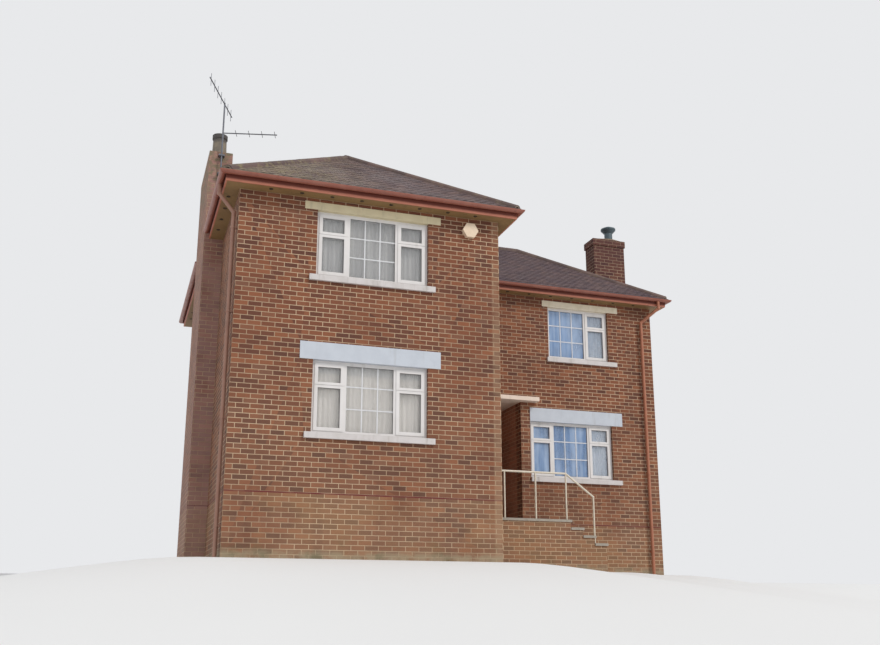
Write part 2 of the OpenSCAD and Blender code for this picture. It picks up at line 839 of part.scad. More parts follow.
module block_window_frames() {
    color([0.95, 0.95, 0.94]) place() {
        at_block(lower_sill_z) window_frame(wide_window, lower_h, mullions_wide, opens_wide);
        at_block(upper_sill_z) window_frame(wide_window, upper_h, mullions_wide, opens_wide);
    }
}

module block_window_glass() {
    color([0.7, 0.8, 0.88, 0.5]) place() {
        at_block(lower_sill_z) window_glass(wide_window, lower_h, mullions_wide, opens_wide);
        at_block(upper_sill_z) window_glass(wide_window, upper_h, mullions_wide, opens_wide);
    }
}

module wing_window_frames() {
    color([0.95, 0.95, 0.94]) place() {
        at_wing(wide_window, lower_sill_z) window_frame(wide_window, lower_h, mullions_wide, opens_wide);
        at_wing(narrow_window, upper_sill_z)
            window_frame(narrow_window, upper_h, mullions_narrow, opens_narrow);
    }
}

module wing_window_glass() {
    color([0.7, 0.8, 0.88, 0.5]) place() {
        at_wing(wide_window, lower_sill_z) window_glass(wide_window, lower_h, mullions_wide, opens_wide);
        at_wing(narrow_window, upper_sill_z)
            window_glass(narrow_window, upper_h, mullions_narrow, opens_narrow);
    }
}

module rear_window_frames() {
    color([0.95, 0.95, 0.94]) place() for (x = rear_window_x) {
        at_rear(x, lower_sill_z) window_frame(wide_window, lower_h, mullions_wide, opens_wide);
        at_rear(x, upper_sill_z) window_frame(wide_window, upper_h, mullions_wide, opens_wide);
    }
}

module rear_window_glass() {
    color([0.7, 0.8, 0.88, 0.5]) place() for (x = rear_window_x) {
        at_rear(x, lower_sill_z) window_glass(wide_window, lower_h, mullions_wide, opens_wide);
        at_rear(x, upper_sill_z) window_glass(wide_window, upper_h, mullions_wide, opens_wide);
    }
}

module side_window_frames() {
    color([0.95, 0.95, 0.94]) place() {
        at_left(lower_sill_z) window_frame(narrow_window, lower_h, mullions_narrow, opens_narrow);
        at_left(upper_sill_z) window_frame(narrow_window, upper_h, mullions_narrow, opens_narrow);
        at_right(lower_sill_z) window_frame(narrow_window, lower_h, mullions_narrow, opens_narrow);
        at_right(upper_sill_z) window_frame(narrow_window, upper_h, mullions_narrow, opens_narrow);
    }
}

module side_window_glass() {
    color([0.7, 0.8, 0.88, 0.5]) place() {
        at_left(lower_sill_z) window_glass(narrow_window, lower_h, mullions_narrow, opens_narrow);
        at_left(upper_sill_z) window_glass(narrow_window, upper_h, mullions_narrow, opens_narrow);
        at_right(lower_sill_z) window_glass(narrow_window, lower_h, mullions_narrow, opens_narrow);
        at_right(upper_sill_z) window_glass(narrow_window, upper_h, mullions_narrow, opens_narrow);
    }
}

module window_sills() {
    color([0.93, 0.93, 0.9]) place() all_sills();
}

module window_lintels() {
    color([0.93, 0.91, 0.86]) place() all_lintels();
}

// door leaf in frame coordinates, x across from the frame's left edge
module at_door() {
    translate([porch_right - door_side - door_w, porch_back_y, floor_z]) children();
}

module front_door() {
    leaf_w = door_w - 2 * door_frame_w;
    leaf_h = door_h - door_frame_w - sill_step;
    panel_w = (leaf_w - 3 * door_stile) / 2;
    color([0.3, 0.17, 0.1]) place() at_door()
        translate([door_frame_w, door_in + 30, sill_step]) difference() {
        cube([leaf_w, door_t, leaf_h]);
        for (x = [door_stile, 2 * door_stile + panel_w])
            for (z = [[0.1, 0.42], [0.48, 0.94]])
                span([x, -eps, leaf_h * z[0]], [x + panel_w, door_t * 0.3, leaf_h * z[1]]);
    }
}

module front_door_frame() {
    color([0.34, 0.2, 0.12]) place() at_door() difference() {
        translate([0, door_in, 0]) cube([door_w, door_frame_d, door_h]);
        span([door_frame_w, 0, sill_step], [door_w - door_frame_w, wall_t, door_h - door_frame_w]);
    }
}

module porch_canopy() {
    color([0.93, 0.92, 0.88]) place() {
        span([block_w, wing_y - canopy_out, canopy_z - canopy_t], [porch_right, porch_back_y, canopy_z]);
        span([porch_right - eps, wing_y - canopy_out, canopy_z - canopy_t], [canopy_right, wing_y, canopy_z]);
    }
}

// masonry under the landing and the steps
module porch_base() {
    top = landing_z - tread_t;
    color([0.5, 0.3, 0.24]) place() {
        span([block_w, landing_y, 0], [porch_right, porch_back_y, top]);
        span([porch_right - eps, landing_y, 0], [landing_right, wing_y, top]);
        for (i = [1 : step_count])
            span([landing_right - eps, landing_y, 0], [landing_right + i * going, wing_y, top - i * riser]);
    }
}

module porch_landing() {
    top = landing_z - tread_t;
    color([0.58, 0.56, 0.53]) place() {
        span([block_w, landing_y - nosing, top], [porch_right, porch_back_y, landing_z]);
        span([porch_right - eps, landing_y - nosing, top], [landing_right + nosing, wing_y, landing_z]);
    }
}

module porch_steps() {
    color([0.58, 0.56, 0.53]) place() for (i = [1 : step_count])
        span([landing_right + (i - 1) * going, landing_y - nosing, landing_z - i * riser - tread_t],
            [landing_right + i * going + nosing, wing_y, landing_z - i * riser]);
}

module handrail() {
    low_z = landing_z - step_count * riser;
    color([0.85, 0.84, 0.8]) place() {
        for (x = post_x) bar([x, rail_y, landing_z], [x, rail_y, rail_z], post_d);
        bar([block_w, rail_y, rail_z], [post_x[0], rail_y, rail_z], rail_d);
        bar([last_post_x, rail_y, low_z], [last_post_x, rail_y, low_z + rail_h], post_d);
        bar([post_x[0], rail_y, rail_z], [last_post_x, rail_y, low_z + rail_h], rail_d);
        translate([post_x[0], rail_y, rail_z]) sphere(d = rail_d + 4);
        translate([last_post_x, rail_y, low_z + rail_h]) sphere(d = rail_d + 4);
    }
}

module alarm_box() {
    color([0.93, 0.9, 0.82]) place() translate([alarm_x, 0, wall_h - alarm_drop]) rotate([90, 0, 0])
        cylinder(h = alarm_d, d = alarm_w, $fn = 6);
}

module net_curtains() {
    y = frame_d + curtain_gap;
    color([0.95, 0.95, 0.93]) place() {
        at_block(lower_sill_z) translate([15, y, 5]) cube([wide_window - 30, curtain_t, lower_h - 10]);
        at_block(upper_sill_z) translate([15, y, 5]) cube([wide_window - 30, curtain_t, upper_h - 10]);
        at_wing(wide_window, lower_sill_z) translate([15, y, 5])
            cube([wide_window - 30, curtain_t, lower_h - 10]);
        at_wing(narrow_window, upper_sill_z) translate([15, y, 5])
            cube([narrow_window - 30, curtain_t, upper_h - 10]);
    }
}

block_front_wall();
left_wall();
block_return_wall();
wing_front_wall();
wing_right_wall();
rear_wall();
porch_side_wall();
porch_back_wall();
ground_floor();
upper_floor();
ceiling();
roof();
ridge_tiles();
soffit();
fascia();
gutters();
left_downpipe();
wing_downpipe();
left_chimney();
left_chimney_pot();
wing_chimney();
wing_flue_cowl();
chimney_flashing();
tv_aerial();
block_window_frames();
block_window_glass();
wing_window_frames();
wing_window_glass();
rear_window_frames();
rear_window_glass();
side_window_frames();
side_window_glass();
window_sills();
window_lintels();
front_door();
front_door_frame();
porch_canopy();
porch_base();
porch_landing();
porch_steps();
handrail();
alarm_box();
net_curtains();
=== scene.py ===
# Finishes, tiles, capping, glazing bars and curtains for the detached brick house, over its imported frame.
import bpy
import bmesh
import math
import random
import types
from mathutils import Matrix, Vector


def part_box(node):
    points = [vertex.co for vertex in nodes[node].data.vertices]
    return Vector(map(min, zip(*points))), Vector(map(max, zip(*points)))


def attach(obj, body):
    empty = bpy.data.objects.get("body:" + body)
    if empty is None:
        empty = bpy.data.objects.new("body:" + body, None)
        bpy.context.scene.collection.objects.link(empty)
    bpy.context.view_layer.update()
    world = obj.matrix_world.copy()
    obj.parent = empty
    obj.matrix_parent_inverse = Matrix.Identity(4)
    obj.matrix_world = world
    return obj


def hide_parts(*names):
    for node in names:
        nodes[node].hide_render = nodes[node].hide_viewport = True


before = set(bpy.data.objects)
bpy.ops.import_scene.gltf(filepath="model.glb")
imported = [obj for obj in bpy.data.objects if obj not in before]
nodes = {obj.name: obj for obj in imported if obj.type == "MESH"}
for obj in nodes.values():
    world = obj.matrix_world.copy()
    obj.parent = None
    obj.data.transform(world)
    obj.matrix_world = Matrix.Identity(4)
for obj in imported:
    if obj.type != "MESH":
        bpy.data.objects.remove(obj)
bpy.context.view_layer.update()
scene = bpy.context.scene
print("frame loaded:", len(nodes), "nodes")


# A maths operation as a method of the class below: its wire goes first, or last where it is turned.
def sign(operation, turned=False):
    def act(wire, *others):
        return wire.maths(operation, *((*others, wire) if turned else (wire, *others)))
    return act


# A socket of a node tree, so that maths on it reads as plain expressions.
class Wire:
    def __init__(self, tree, socket=None):
        self.tree = tree
        self.socket = socket

    # any node: its settings go in first, then the values or links of its sockets
    def node(self, kind, values=None, out=0, **settings):
        made = self.tree.nodes.new(kind)
        for key, value in settings.items():
            if key == "stops":
                while len(made.color_ramp.elements) < len(value):
                    made.color_ramp.elements.new(0.5)
                for stop, (place, colour) in zip(made.color_ramp.elements, value):
                    stop.position = place
                    stop.color = rgb(*colour)
            else:
                setattr(made, key, value)
        for key, value in (values or {}).items():
            if isinstance(value, Wire):
                self.tree.links.new(value.socket, made.inputs[key])
            else:
                made.inputs[key].default_value = value
        return Wire(self.tree, made.outputs[out])

    def maths(self, operation, *values):
        return self.node("ShaderNodeMath", dict(enumerate(values)), operation=operation)

    __add__, __radd__ = sign("ADD"), sign("ADD", True)
    __sub__, __rsub__ = sign("SUBTRACT"), sign("SUBTRACT", True)
    __mul__, __rmul__ = sign("MULTIPLY"), sign("MULTIPLY", True)
    __truediv__, __rtruediv__ = sign("DIVIDE"), sign("DIVIDE", True)
    __gt__, __lt__, low, high = sign("GREATER_THAN"), sign("LESS_THAN"), sign("MINIMUM"), sign("MAXIMUM")
    floor, fract, abs = sign("FLOOR"), sign("FRACT"), sign("ABSOLUTE")

    # 0 below a, 1 above b, smooth between
    def ramp(self, a, b):
        return self.node("ShaderNodeMapRange", {"Value": self, "From Min": a, "From Max": b},
                         interpolation_type="SMOOTHSTEP")

    def split(self):
        parts = self.node("ShaderNodeSeparateXYZ", {0: self}).socket.node
        return [Wire(self.tree, parts.outputs[i]) for i in range(3)]

    def vector(self, x, y, z):
        return self.node("ShaderNodeCombineXYZ", {0: x, 1: y, 2: z})

    # as a factor: mixes colour a into colour b, each a wire or an sRGB colour, 0 to 255
    def mix(self, a, b):
        a, b = (colour if isinstance(colour, Wire) else rgb(*colour) for colour in (a, b))
        return self.node("ShaderNodeMix", {0: self, 6: a, 7: b}, 2, data_type="RGBA")

    def stops(self, *stops):
        return self.node("ShaderNodeValToRGB", {0: self}, stops=stops)

    def noise(self, scale, detail=3.0, roughness=0.55, where=None):
        return self.node("ShaderNodeTexNoise", {
            "Vector": where or self.place(), "Scale": scale, "Detail": detail, "Roughness": roughness})

    def place(self):
        return self.node("ShaderNodeTexCoord", out="Object")

    def facing(self):
        return self.node("ShaderNodeTexCoord", out="Normal")

    def attribute(self, name):
        return self.node("ShaderNodeAttribute", out="Fac", attribute_name=name)

    def chance(self, vector):
        return self.node("ShaderNodeTexWhiteNoise", {"Vector": vector}, noise_dimensions="3D")

    def bump(self, strength, distance):
        return self.node("ShaderNodeBump", {"Strength": strength, "Distance": distance, "Height": self})

    # a random number for each point or tile of a geometry tree
    def scatter(self, low, high, seed):
        return self.node("FunctionNodeRandomValue", {2: low, 3: high, "Seed": seed}, 1, data_type="FLOAT")


# An sRGB colour, 0 to 255, as the linear colour that a socket takes.
def rgb(red, green, reflectedBlue):
    line = []
    for part in (red, green, reflectedBlue):
        part = part / 255
        line.append(part / 12.92 if part <= 0.04045 else ((part + 0.055) / 1.055) ** 2.4)
    return (*line, 1.0)


# A new material, and the nodes that wear it: paint gives its shader's linked sockets, plain the uniform ones.
def finish(name, paint, plain=None, on=""):
    made = bpy.data.materials.new(name)
    made.use_nodes = True
    tree = made.node_tree
    shader = tree.nodes["Principled BSDF"]
    for key, value in (plain or {}).items():
        shader.inputs[key].default_value = value
    for key, value in paint(Wire(tree)).items():
        tree.links.new(value.socket, shader.inputs[key])
    for node in on.split():
        slots = nodes[node].data.materials
        slots.clear()
        slots.append(made)
    return made


# The main sizes, read from the frame's own pieces, in metres.
def edges(name):
    low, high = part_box(name)
    return [*low, *high]


left, front, _, blockRight, _, wallTop = edges("block_front_wall")
_, wingFront, _, right, _, _ = edges("wing_front_wall")
back, porchRight = edges("rear_wall")[4], edges("porch_side_wall")[0]
_, porchBack, _, _, _, porchTop = edges("porch_back_wall")
roofLeft, _, _, _, _, ridgeZ = edges("roof")
edgeHigh = 0.175  # lower edge of the tiles over the top of the walls
eaveOut = left - roofLeft
eaveZ = wallTop + edgeHigh
planRun = (blockRight - left) / 2 + eaveOut
slope = (ridgeZ - eaveZ) / planRun
pitch = math.atan(slope)
print("walls %.3f by %.3f m, eaves out %.3f" % (right - left, back - front, eaveOut))


brickWork = {
    "course": 0.0825, "pitch": 0.230, "joint": 0.011, "mortarHigh": 0.089, "lichenZ": 6.6,
    "mortar": (200, 172, 142), "mortarDark": (160, 132, 106),
    "tones": ((0.00, (90, 54, 41)), (0.20, (106, 62, 44)), (0.45, (120, 70, 47)),
              (0.70, (133, 79, 52)), (0.88, (145, 89, 59)), (1.00, (118, 80, 62))),
    "deep": (92, 58, 46), "pale": (178, 150, 120), "soot": (82, 62, 54),
    "dampCourse": (104, 40, 38), "dampCourseZ": 1.062, "ochre": (176, 138, 88),
    "plaster": (206, 198, 184), "plasterWorn": (188, 180, 166),
    "foot": (160, 146, 120), "moss": (86, 88, 60), "lichen": (112, 110, 84),
    "haunch": (124, 106, 86),
}


# Stretcher bond on every upright face. Lined walls turn to plaster indoors, lichen starts at lichenZ and
# mortar at haunchZ, and a wash gives its colour, its share, and how far it leaves the joints bare; the wash
# is stronger on faces turned to the front and on left faces east of the block, as painted light and shade.
def brickPaint(lined=False, lichenZ=None, haunchZ=None, wash=None):
    def paint(w):
        kit = brickWork
        x, y, z = w.place().split()
        nx, ny, nz = w.facing().split()
        flat = nz.abs()
        along = (x - left) * ny.abs() + (y - front) * nx.abs() + x * flat
        up = z * (1 - flat) + y * flat
        row = (up / kit["course"]).floor()
        column = along / kit["pitch"] + (row * 0.5).fract()
        brick = w.vector(column.floor(), row, nx * 3.0 + nz * 7.0)
        ragged = 0.0014 * w.noise(60, 2, 0.6)
        inU = (column.fract() - 0.5).abs() * kit["pitch"] + ragged
        inV = ((up / kit["course"]).fract() - 0.5).abs() * kit["course"] + ragged
        edgeU = (kit["pitch"] - kit["joint"]) / 2
        edgeV = (kit["course"] - kit["joint"]) / 2
        joint = inU.ramp(edgeU - 0.001, edgeU + 0.001).high(inV.ramp(edgeV - 0.001, edgeV + 0.001))
        grain = w.noise(160, 4, 0.7)
        patch = w.noise(0.7, 3, 0.6)
        tone = w.chance(brick).stops(*kit["tones"])
        tone = (grain.ramp(0.35, 0.75) * 0.45).mix(tone, kit["deep"])
        low = z.ramp(4.4, 0.4) * 0.13 + (z < kit["dampCourseZ"]) * 0.10
        tone = (low * patch.ramp(0.2, 0.6)).mix(tone, kit["pale"])
        streaks = w.noise(1.0, 4, 0.6, w.vector(x * 3.0, y * 3.0, z * 0.25))
        tone = (streaks.ramp(0.5, 0.75) * 0.22).mix(tone, kit["soot"])
        colour = joint.mix(tone, patch.ramp(0.3, 0.7).mix(kit["mortarDark"], kit["mortar"]))
        below = (z < kit["dampCourseZ"]) * w.noise(0.9, 4, 0.6).ramp(0.40, 0.62) * 0.16
        colour = below.mix(colour, kit["ochre"])
        course = ((z - kit["dampCourseZ"]).abs() < 0.012) * (1 - flat) * w.noise(1.8, 3, 0.6).ramp(0.1, 0.6)
        colour = course.mix(colour, kit["dampCourse"])
        corner = (x - blockRight + 0.16).ramp(0.0, 0.03) * (x < blockRight + 0.001) * (y < front + 0.08)
        colour = (corner * 0.28 * w.noise(2.0, 3, 0.6).ramp(0.3, 0.6)).mix(colour, kit["pale"])
        if wash:
            film, share, bare = wash
            washAndPaintedLight = w.noise(1.6, 4, 0.6).ramp(0.0, 0.6) * (1 - bare * joint)
            # painted light and shade: the wash is stronger on faces turned to the front and on left faces
            # east of the block
            washAndPaintedLight = washAndPaintedLight * share * (0.55 + 0.45 * (ny < -0.5).high((nx < -0.5) * (x > blockRight)))
            colour = washAndPaintedLight.mix(colour, film)
        foot = z.ramp(0.20, 0.08) * w.noise(5.0, 4, 0.6).ramp(0.25, 0.6) * 0.7
        colour = foot.mix(colour, kit["foot"])
        splash = z.ramp(0.5, 0.0) * w.noise(3.0, 5, 0.6).ramp(0.48, 0.70) * 0.55
        colour = splash.mix(colour, kit["moss"])
        if lichenZ:
            grown = z.ramp(lichenZ, lichenZ + 1.0) * w.noise(9, 5, 0.65).ramp(0.40, 0.60) * 0.75
            colour = grown.mix(colour, kit["lichen"])
        if haunchZ:
            colour = (z > haunchZ).mix(colour, kit["haunch"])
        height = (1 - joint) * (0.8 + 0.2 * grain)
        if lined:
            blockIn = (x - left).low(blockRight - x).low((y - front).low(back - y))
            wingIn = (x - left).low(right - x).low((y - wingFront).low(back - y))
            acrossPorch = (x > blockRight - 0.01) * (x < porchRight + 0.01)
            porch = acrossPorch * (y < porchBack + 0.15) * (z < porchTop + 0.01)
            inner = (blockIn.high(wingIn) > 0.15) * (1 - porch)
            colour = inner.mix(colour, w.noise(5, 3, 0.5).mix(kit["plaster"], kit["plasterWorn"]))
            height = height * (1 - inner)
        return {"Base Color": colour, "Roughness": 0.82 + 0.15 * grain, "Normal": height.bump(0.9, 0.005)}
    return paint


leftStack, wingStack = edges("left_chimney"), edges("wing_chimney")
finish("outerBrick", brickPaint(lined=True), on=(
    "block_front_wall left_wall wing_front_wall wing_right_wall rear_wall block_return_wall porch_base"))
finish("porchBrick", brickPaint(lined=True, wash=((206, 146, 120), 0.50, 0.6)),
       on="porch_side_wall porch_back_wall")
finish("stackBrick", brickPaint(
    lichenZ=brickWork["lichenZ"], haunchZ=leftStack[5] - brickWork["mortarHigh"],
    wash=((186, 148, 140), 0.56, 0.75)), on="left_chimney")
finish("wingStackBrick", brickPaint(
    haunchZ=wingStack[5] - brickWork["mortarHigh"], wash=((70, 40, 42), 0.75, 0.35)), on="wing_chimney")
print("brickwork dressed")


# A worn finish: base tone, wear in patches, dirt (in runs where it streaks), a fine bump, and its nodes.
def wornFinish(name, base, wear, dirt, roughness, on="", scale=5.0, depth=0.0006, metal=0.0, streak=False):
    def paint(w):
        x, y, z = w.place().split()
        patch = w.noise(scale, 4, 0.6).ramp(0.35, 0.7)
        colour = (patch * 0.5).mix(base, wear)
        run = w.vector(x * 3, y * 3, z * (0.4 if streak else 3))
        soil = w.noise(scale * 0.6, 5, 0.65, run).ramp(0.52, 0.78)
        colour = (soil * 0.45).mix(colour, dirt)
        fine = w.noise(120, 3, 0.6)
        return {"Base Color": colour, "Roughness": roughness + 0.18 * (fine - 0.5) + 0.1 * soil,
                "Normal": fine.bump(0.6, depth)}
    return finish(name, paint, {"Metallic": metal}, on)


wornFinish("windowWhite", (224, 220, 218), (210, 206, 202), (150, 144, 134), 0.35,
           "block_window_frames wing_window_frames rear_window_frames side_window_frames",
           scale=3, depth=0.0002, streak=True)
wornFinish("sillPaint", (206, 200, 198), (186, 180, 174), (128, 118, 104), 0.6, "window_sills", streak=True)
wornFinish("canopyPaint", (232, 212, 196), (210, 190, 172), (132, 118, 104), 0.6, "porch_canopy",
           scale=3, streak=True)
wornFinish("soffitBoard", (140, 110, 70), (124, 98, 62), (84, 66, 46), 0.65, "soffit", scale=4)
gutterRed = wornFinish("gutterRed", (142, 82, 66), (156, 102, 86), (92, 50, 38), 0.38, "gutters", streak=True)
wornFinish("leftPipe", (156, 116, 98), (138, 94, 78), (92, 66, 56), 0.45, "left_downpipe", streak=True)
wornFinish("wingPipe", (170, 108, 80), (152, 94, 70), (98, 64, 50), 0.45, "wing_downpipe", streak=True)
wornFinish("treadStone", (168, 160, 148), (140, 132, 120), (92, 90, 74), 0.85,
           "porch_landing porch_steps", depth=0.001)
wornFinish("flueSteel", (84, 98, 104), (68, 78, 84), (54, 54, 54), 0.45, "wing_flue_cowl",
           scale=9, metal=0.35)
sheetLead = wornFinish("sheetLead", (104, 102, 104), (128, 126, 128), (70, 66, 64), 0.6,
                       "chimney_flashing", scale=8, metal=0.2, depth=0.001)
wornFinish("aerialMetal", (112, 114, 122), (84, 84, 88), (76, 64, 54), 0.42, "tv_aerial", scale=20, metal=0.7)
wornFinish("railPaint", (222, 212, 194), (196, 184, 162), (118, 90, 68), 0.4, "handrail", scale=14)
wornFinish("doorWood", (96, 52, 34), (76, 42, 28), (48, 30, 22), 0.42, "front_door", scale=8, streak=True)
wornFinish("doorFrameWood", (86, 48, 32), (68, 40, 28), (44, 30, 22), 0.48, "front_door_frame",
           scale=8, streak=True)
wornFinish("alarmCase", (228, 205, 178), (214, 190, 162), (150, 132, 110), 0.38, "alarm_box", scale=10)
wornFinish("plasterWhite", (212, 206, 196), (198, 190, 178), (160, 152, 140), 0.9,
           "ceiling net_curtains", scale=2)
wornFinish("roofClay", (112, 90, 86), (92, 74, 70), (100, 94, 66), 0.85, "roof", depth=0.002)
wornFinish("ridgeClay", (100, 76, 68), (84, 66, 60), (104, 96, 66), 0.85, "ridge_tiles", scale=7, depth=0.002)


# A window's own run is from its left end seen from outside, at the face of its wall.
windowKit = {"wide": 2.020, "narrow": 1.520, "frame": 0.058, "light": 0.483, "sash": 0.048, "vent": 0.355,
             "glassFace": 0.098, "lower": (2.0625, 3.300), "upper": (4.785, 5.98125), "wingIn": 1.13}
storeyZ = (windowKit["lower"][1] + windowKit["upper"][0]) / 2
wingEdge = right - windowKit["wingIn"]
postX = wingEdge - windowKit["light"] - 1.5 * windowKit["frame"]  # post by the wing's right lights


# The sockets of a dull finish: its colour, and roughness and bump from its fine grain.
def dull(colour, fine, low, vary, bump, depth):
    return {"Base Color": colour, "Roughness": low + vary * fine, "Normal": fine.bump(bump, depth)}


# Painted concrete: cream over the upper windows, cool white over the lower ones.
def lintelPaint(w):
    x, y, z = w.place().split()
    upper = z > storeyZ
    patch = w.noise(4, 4, 0.6).ramp(0.35, 0.7)
    cream = (x > blockRight).mix((216, 203, 168), (234, 223, 200))
    colour = upper.mix((194, 199, 207), cream)
    colour = (patch * 0.4).mix(colour, upper.mix((176, 181, 190), (196, 181, 146)))
    soil = w.noise(2.4, 5, 0.65, w.vector(x * 3, y * 3, z * 0.4)).ramp(0.54, 0.80)
    colour = (soil * 0.4).mix(colour, (132, 124, 108))
    return dull(colour, w.noise(120, 3, 0.6), 0.6, 0.18, 0.6, 0.0008)


# Boards on top of a floor and plaster on its underside.
def floorPaint(w):
    x, y, z = w.place().split()
    nx, ny, nz = w.facing().split()
    board = (x / 0.14).floor()
    length = (y / 2.4 + board * 0.37).floor()
    tone = w.chance(w.vector(board, length, 0)).mix((124, 90, 60), (156, 116, 80))
    seam = ((x / 0.14).fract() - 0.5).abs() > 0.485
    grain = w.noise(12, 5, 0.65, w.vector(x * 6, y * 0.5, z))
    colour = seam.mix((grain * 0.5).mix(tone, (98, 70, 48)), (58, 42, 32))
    plaster = w.noise(4, 3, 0.5).mix((212, 206, 196), (196, 188, 176))
    return dull((nz < -0.5).mix(colour, plaster), grain, 0.55, 0.2, 0.4, 0.001)


# Painted board, salmon below and dark behind the gutter, where a painted shadow of the gutter falls.
def fasciaPaint(w):
    x, y, z = w.place().split()
    run = w.vector(x * 3, y * 3, z * 0.4)
    colour = (w.noise(4, 4, 0.6).ramp(0.35, 0.7) * 0.5).mix((188, 118, 94), (170, 102, 80))
    # painted shadow: the upper board is darkened as if the gutter's shadow lay on it
    gutterShadow = (z + 0.02 * w.noise(2.4, 5, 0.65, run)).ramp(wallTop + 0.035, wallTop + 0.070)
    colour = (gutterShadow * 0.9).mix(colour, (86, 28, 16))
    return dull(colour, w.noise(120, 3, 0.6), 0.45, 0.15, 0.6, 0.0006)


# Clay pot, sooty round its rim.
def potPaint(w):
    x, y, z = w.place().split()
    patch = w.noise(9, 4, 0.6)
    colour = patch.ramp(0.35, 0.7).mix((142, 130, 112), (116, 108, 98))
    rim = (z + 0.05 * patch).ramp(potTop - 0.20, potTop - 0.06)
    colour = (rim * 0.85).mix(colour, (66, 64, 66))
    return dull(colour, w.noise(120, 3, 0.6), 0.8, 0.1, 0.6, 0.001)


# Double glazing with a painted reflection of the sky on it: bluer in the wing, and paler in the block
# downstairs as painted light.
def glassPaint(w):
    x, y, z = w.place().split()
    patch = w.noise(1.6, 3, 0.5)
    wing = (x > blockRight) * (y < 0)
    lower = z < wallTop / 2
    upstairs = patch.mix((182, 184, 186), (204, 204, 202))
    # painted light: the panes downstairs are made paler and warmer
    pale = lower.mix(upstairs, patch.mix((206, 202, 196), (222, 218, 212)))
    # painted reflection of the sky: bluer and more opaque across the wing's panes, less on its right lights
    sky = w.noise(1.3, 3, 0.6, w.vector(x * 1.5, y, z * 0.7)).ramp(0.30, 0.65)
    side = x > postX
    sky = wing * (0.10 + 0.30 * sky) * (1 - 0.6 * side)
    folds = w.noise(1.0, 3, 0.65, w.vector(x * 7.0, y, z * 0.7)).ramp(0.35, 0.65)
    reflectedBlue = (side * 0.5).mix(folds.mix((120, 156, 202), (178, 202, 234)), (218, 222, 222))
    return {"Base Color": wing.mix(pale, reflectedBlue), "Roughness": 0.03 + 0.04 * patch,
            "Alpha": 0.20 + 0.10 * patch + sky}


potTop = edges("left_chimney_pot")[5]
finish("lintelWhite", lintelPaint, on="window_lintels")
finish("clayPot", potPaint, on="left_chimney_pot")
finish("floorBoard", floorPaint, on="ground_floor upper_floor")
finish("fasciaBoard", fasciaPaint, on="fascia")
finish("windowGlass", glassPaint, {"IOR": 1.5, "Coat Weight": 1.0, "Coat Roughness": 0.03},
       "block_window_glass wing_window_glass rear_window_glass side_window_glass")
print("every node has a finish")


# A dressed object from one mesh or a list of them, with the nodes that it stands for.
def piece(name, shapes, material, replaced=()):
    mesh = joined(name, shapes) if isinstance(shapes, list) else shapes
    made = bpy.data.objects.new(name, mesh)
    scene.collection.objects.link(made)
    mesh.materials.clear()
    mesh.materials.append(material)
    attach(made, "root")
    if replaced:
        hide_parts(*replaced)
    return made


# A geometry tree with a material and the inputs named by kind: a wire into it, one for each input, its end.
def newTree(name, kinds):
    tree = bpy.data.node_groups.new(name, "GeometryNodeTree")
    inputs = {label: kind for kind, labels in kinds.items() for label in labels.split()}
    inputs["material"] = "Material"
    for label, kind in inputs.items():
        tree.interface.new_socket(label, in_out="INPUT", socket_type="NodeSocket" + kind)
    tree.interface.new_socket("Geometry", in_out="OUTPUT", socket_type="NodeSocketGeometry")
    start = tree.nodes.new("NodeGroupInput")
    end = tree.nodes.new("NodeGroupOutput")
    put = types.SimpleNamespace(**{label: Wire(tree, start.outputs[label]) for label in inputs})
    return Wire(tree), put, end


# Ends a tree: instances made real, and its material set.
def closeTree(w, geometry, put, end):
    solid = w.node("GeometryNodeRealizeInstances", {"Geometry": geometry})
    solid = w.node("GeometryNodeSetMaterial", {"Geometry": solid, "Material": put.material})
    w.tree.links.new(solid.socket, end.inputs[0])
    return w.tree


# Copies of a shape on a line of points.
def rowOf(w, shape, count, step, start=(0, 0, 0), turn=(0, 0, 0)):
    line = w.node("GeometryNodeMeshLine", {"Count": count, "Start Location": start, "Offset": step},
                  mode="OFFSET")
    return w.node("GeometryNodeInstanceOnPoints", {"Points": line, "Instance": shape, "Rotation": turn})


# Gives each copy a random tone of its own.
def toned(w, copies, seed):
    return w.node("GeometryNodeStoreNamedAttribute", {
        "Geometry": copies, "Name": "tone", "Value": w.scatter(0.0, 1.0, seed)},
        data_type="FLOAT", domain="INSTANCE")


# Runs a tree with this material and the values that it has inputs for, and gives back a plain mesh.
def grow(tree, material, values):
    values = {**values, "material": material}
    holder = bpy.data.objects.new("holder", bpy.data.meshes.new("holder"))
    scene.collection.objects.link(holder)
    maker = holder.modifiers.new("maker", "NODES")
    maker.node_group = tree
    for item in tree.interface.items_tree:
        if item.in_out == "INPUT":
            maker[item.identifier] = values[item.name]
    mesh = bpy.data.meshes.new_from_object(holder.evaluated_get(bpy.context.evaluated_depsgraph_get()))
    holder.modifiers.clear()
    bpy.data.objects.remove(holder)
    return mesh


def joined(name, meshes):
    whole = bmesh.new()
    for mesh in meshes:
        whole.from_mesh(mesh)
    made = bpy.data.meshes.new(name)
    whole.to_mesh(made)
    whole.free()
    return made


# Turns a mesh's own axes to these three, and moves it to this corner.
def turnTo(mesh, axes, corner):
    turn = Matrix([[axis[i] for axis in axes] for i in range(3)]).to_4x4()
    turn.translation = corner
    mesh.transform(turn)
    return mesh


# A smooth mesh over rows of points, with this many in a row.
def gridMesh(name, points, run):
    mesh = bpy.data.meshes.new(name)
    mesh.from_pydata(points, [], [(i, i + 1, i + 1 + run, i + run) for i in range(len(points) - run)
                                  if (i + 1) % run])
    for face in mesh.polygons:
        face.use_smooth = True
    return mesh


# A mesh from a bmesh, its faces pointing outwards.
def meshOf(name, shape):
    bmesh.ops.recalc_face_normals(shape, faces=shape.faces)
    mesh = bpy.data.meshes.new(name)
    shape.to_mesh(mesh)
    shape.free()
    return mesh


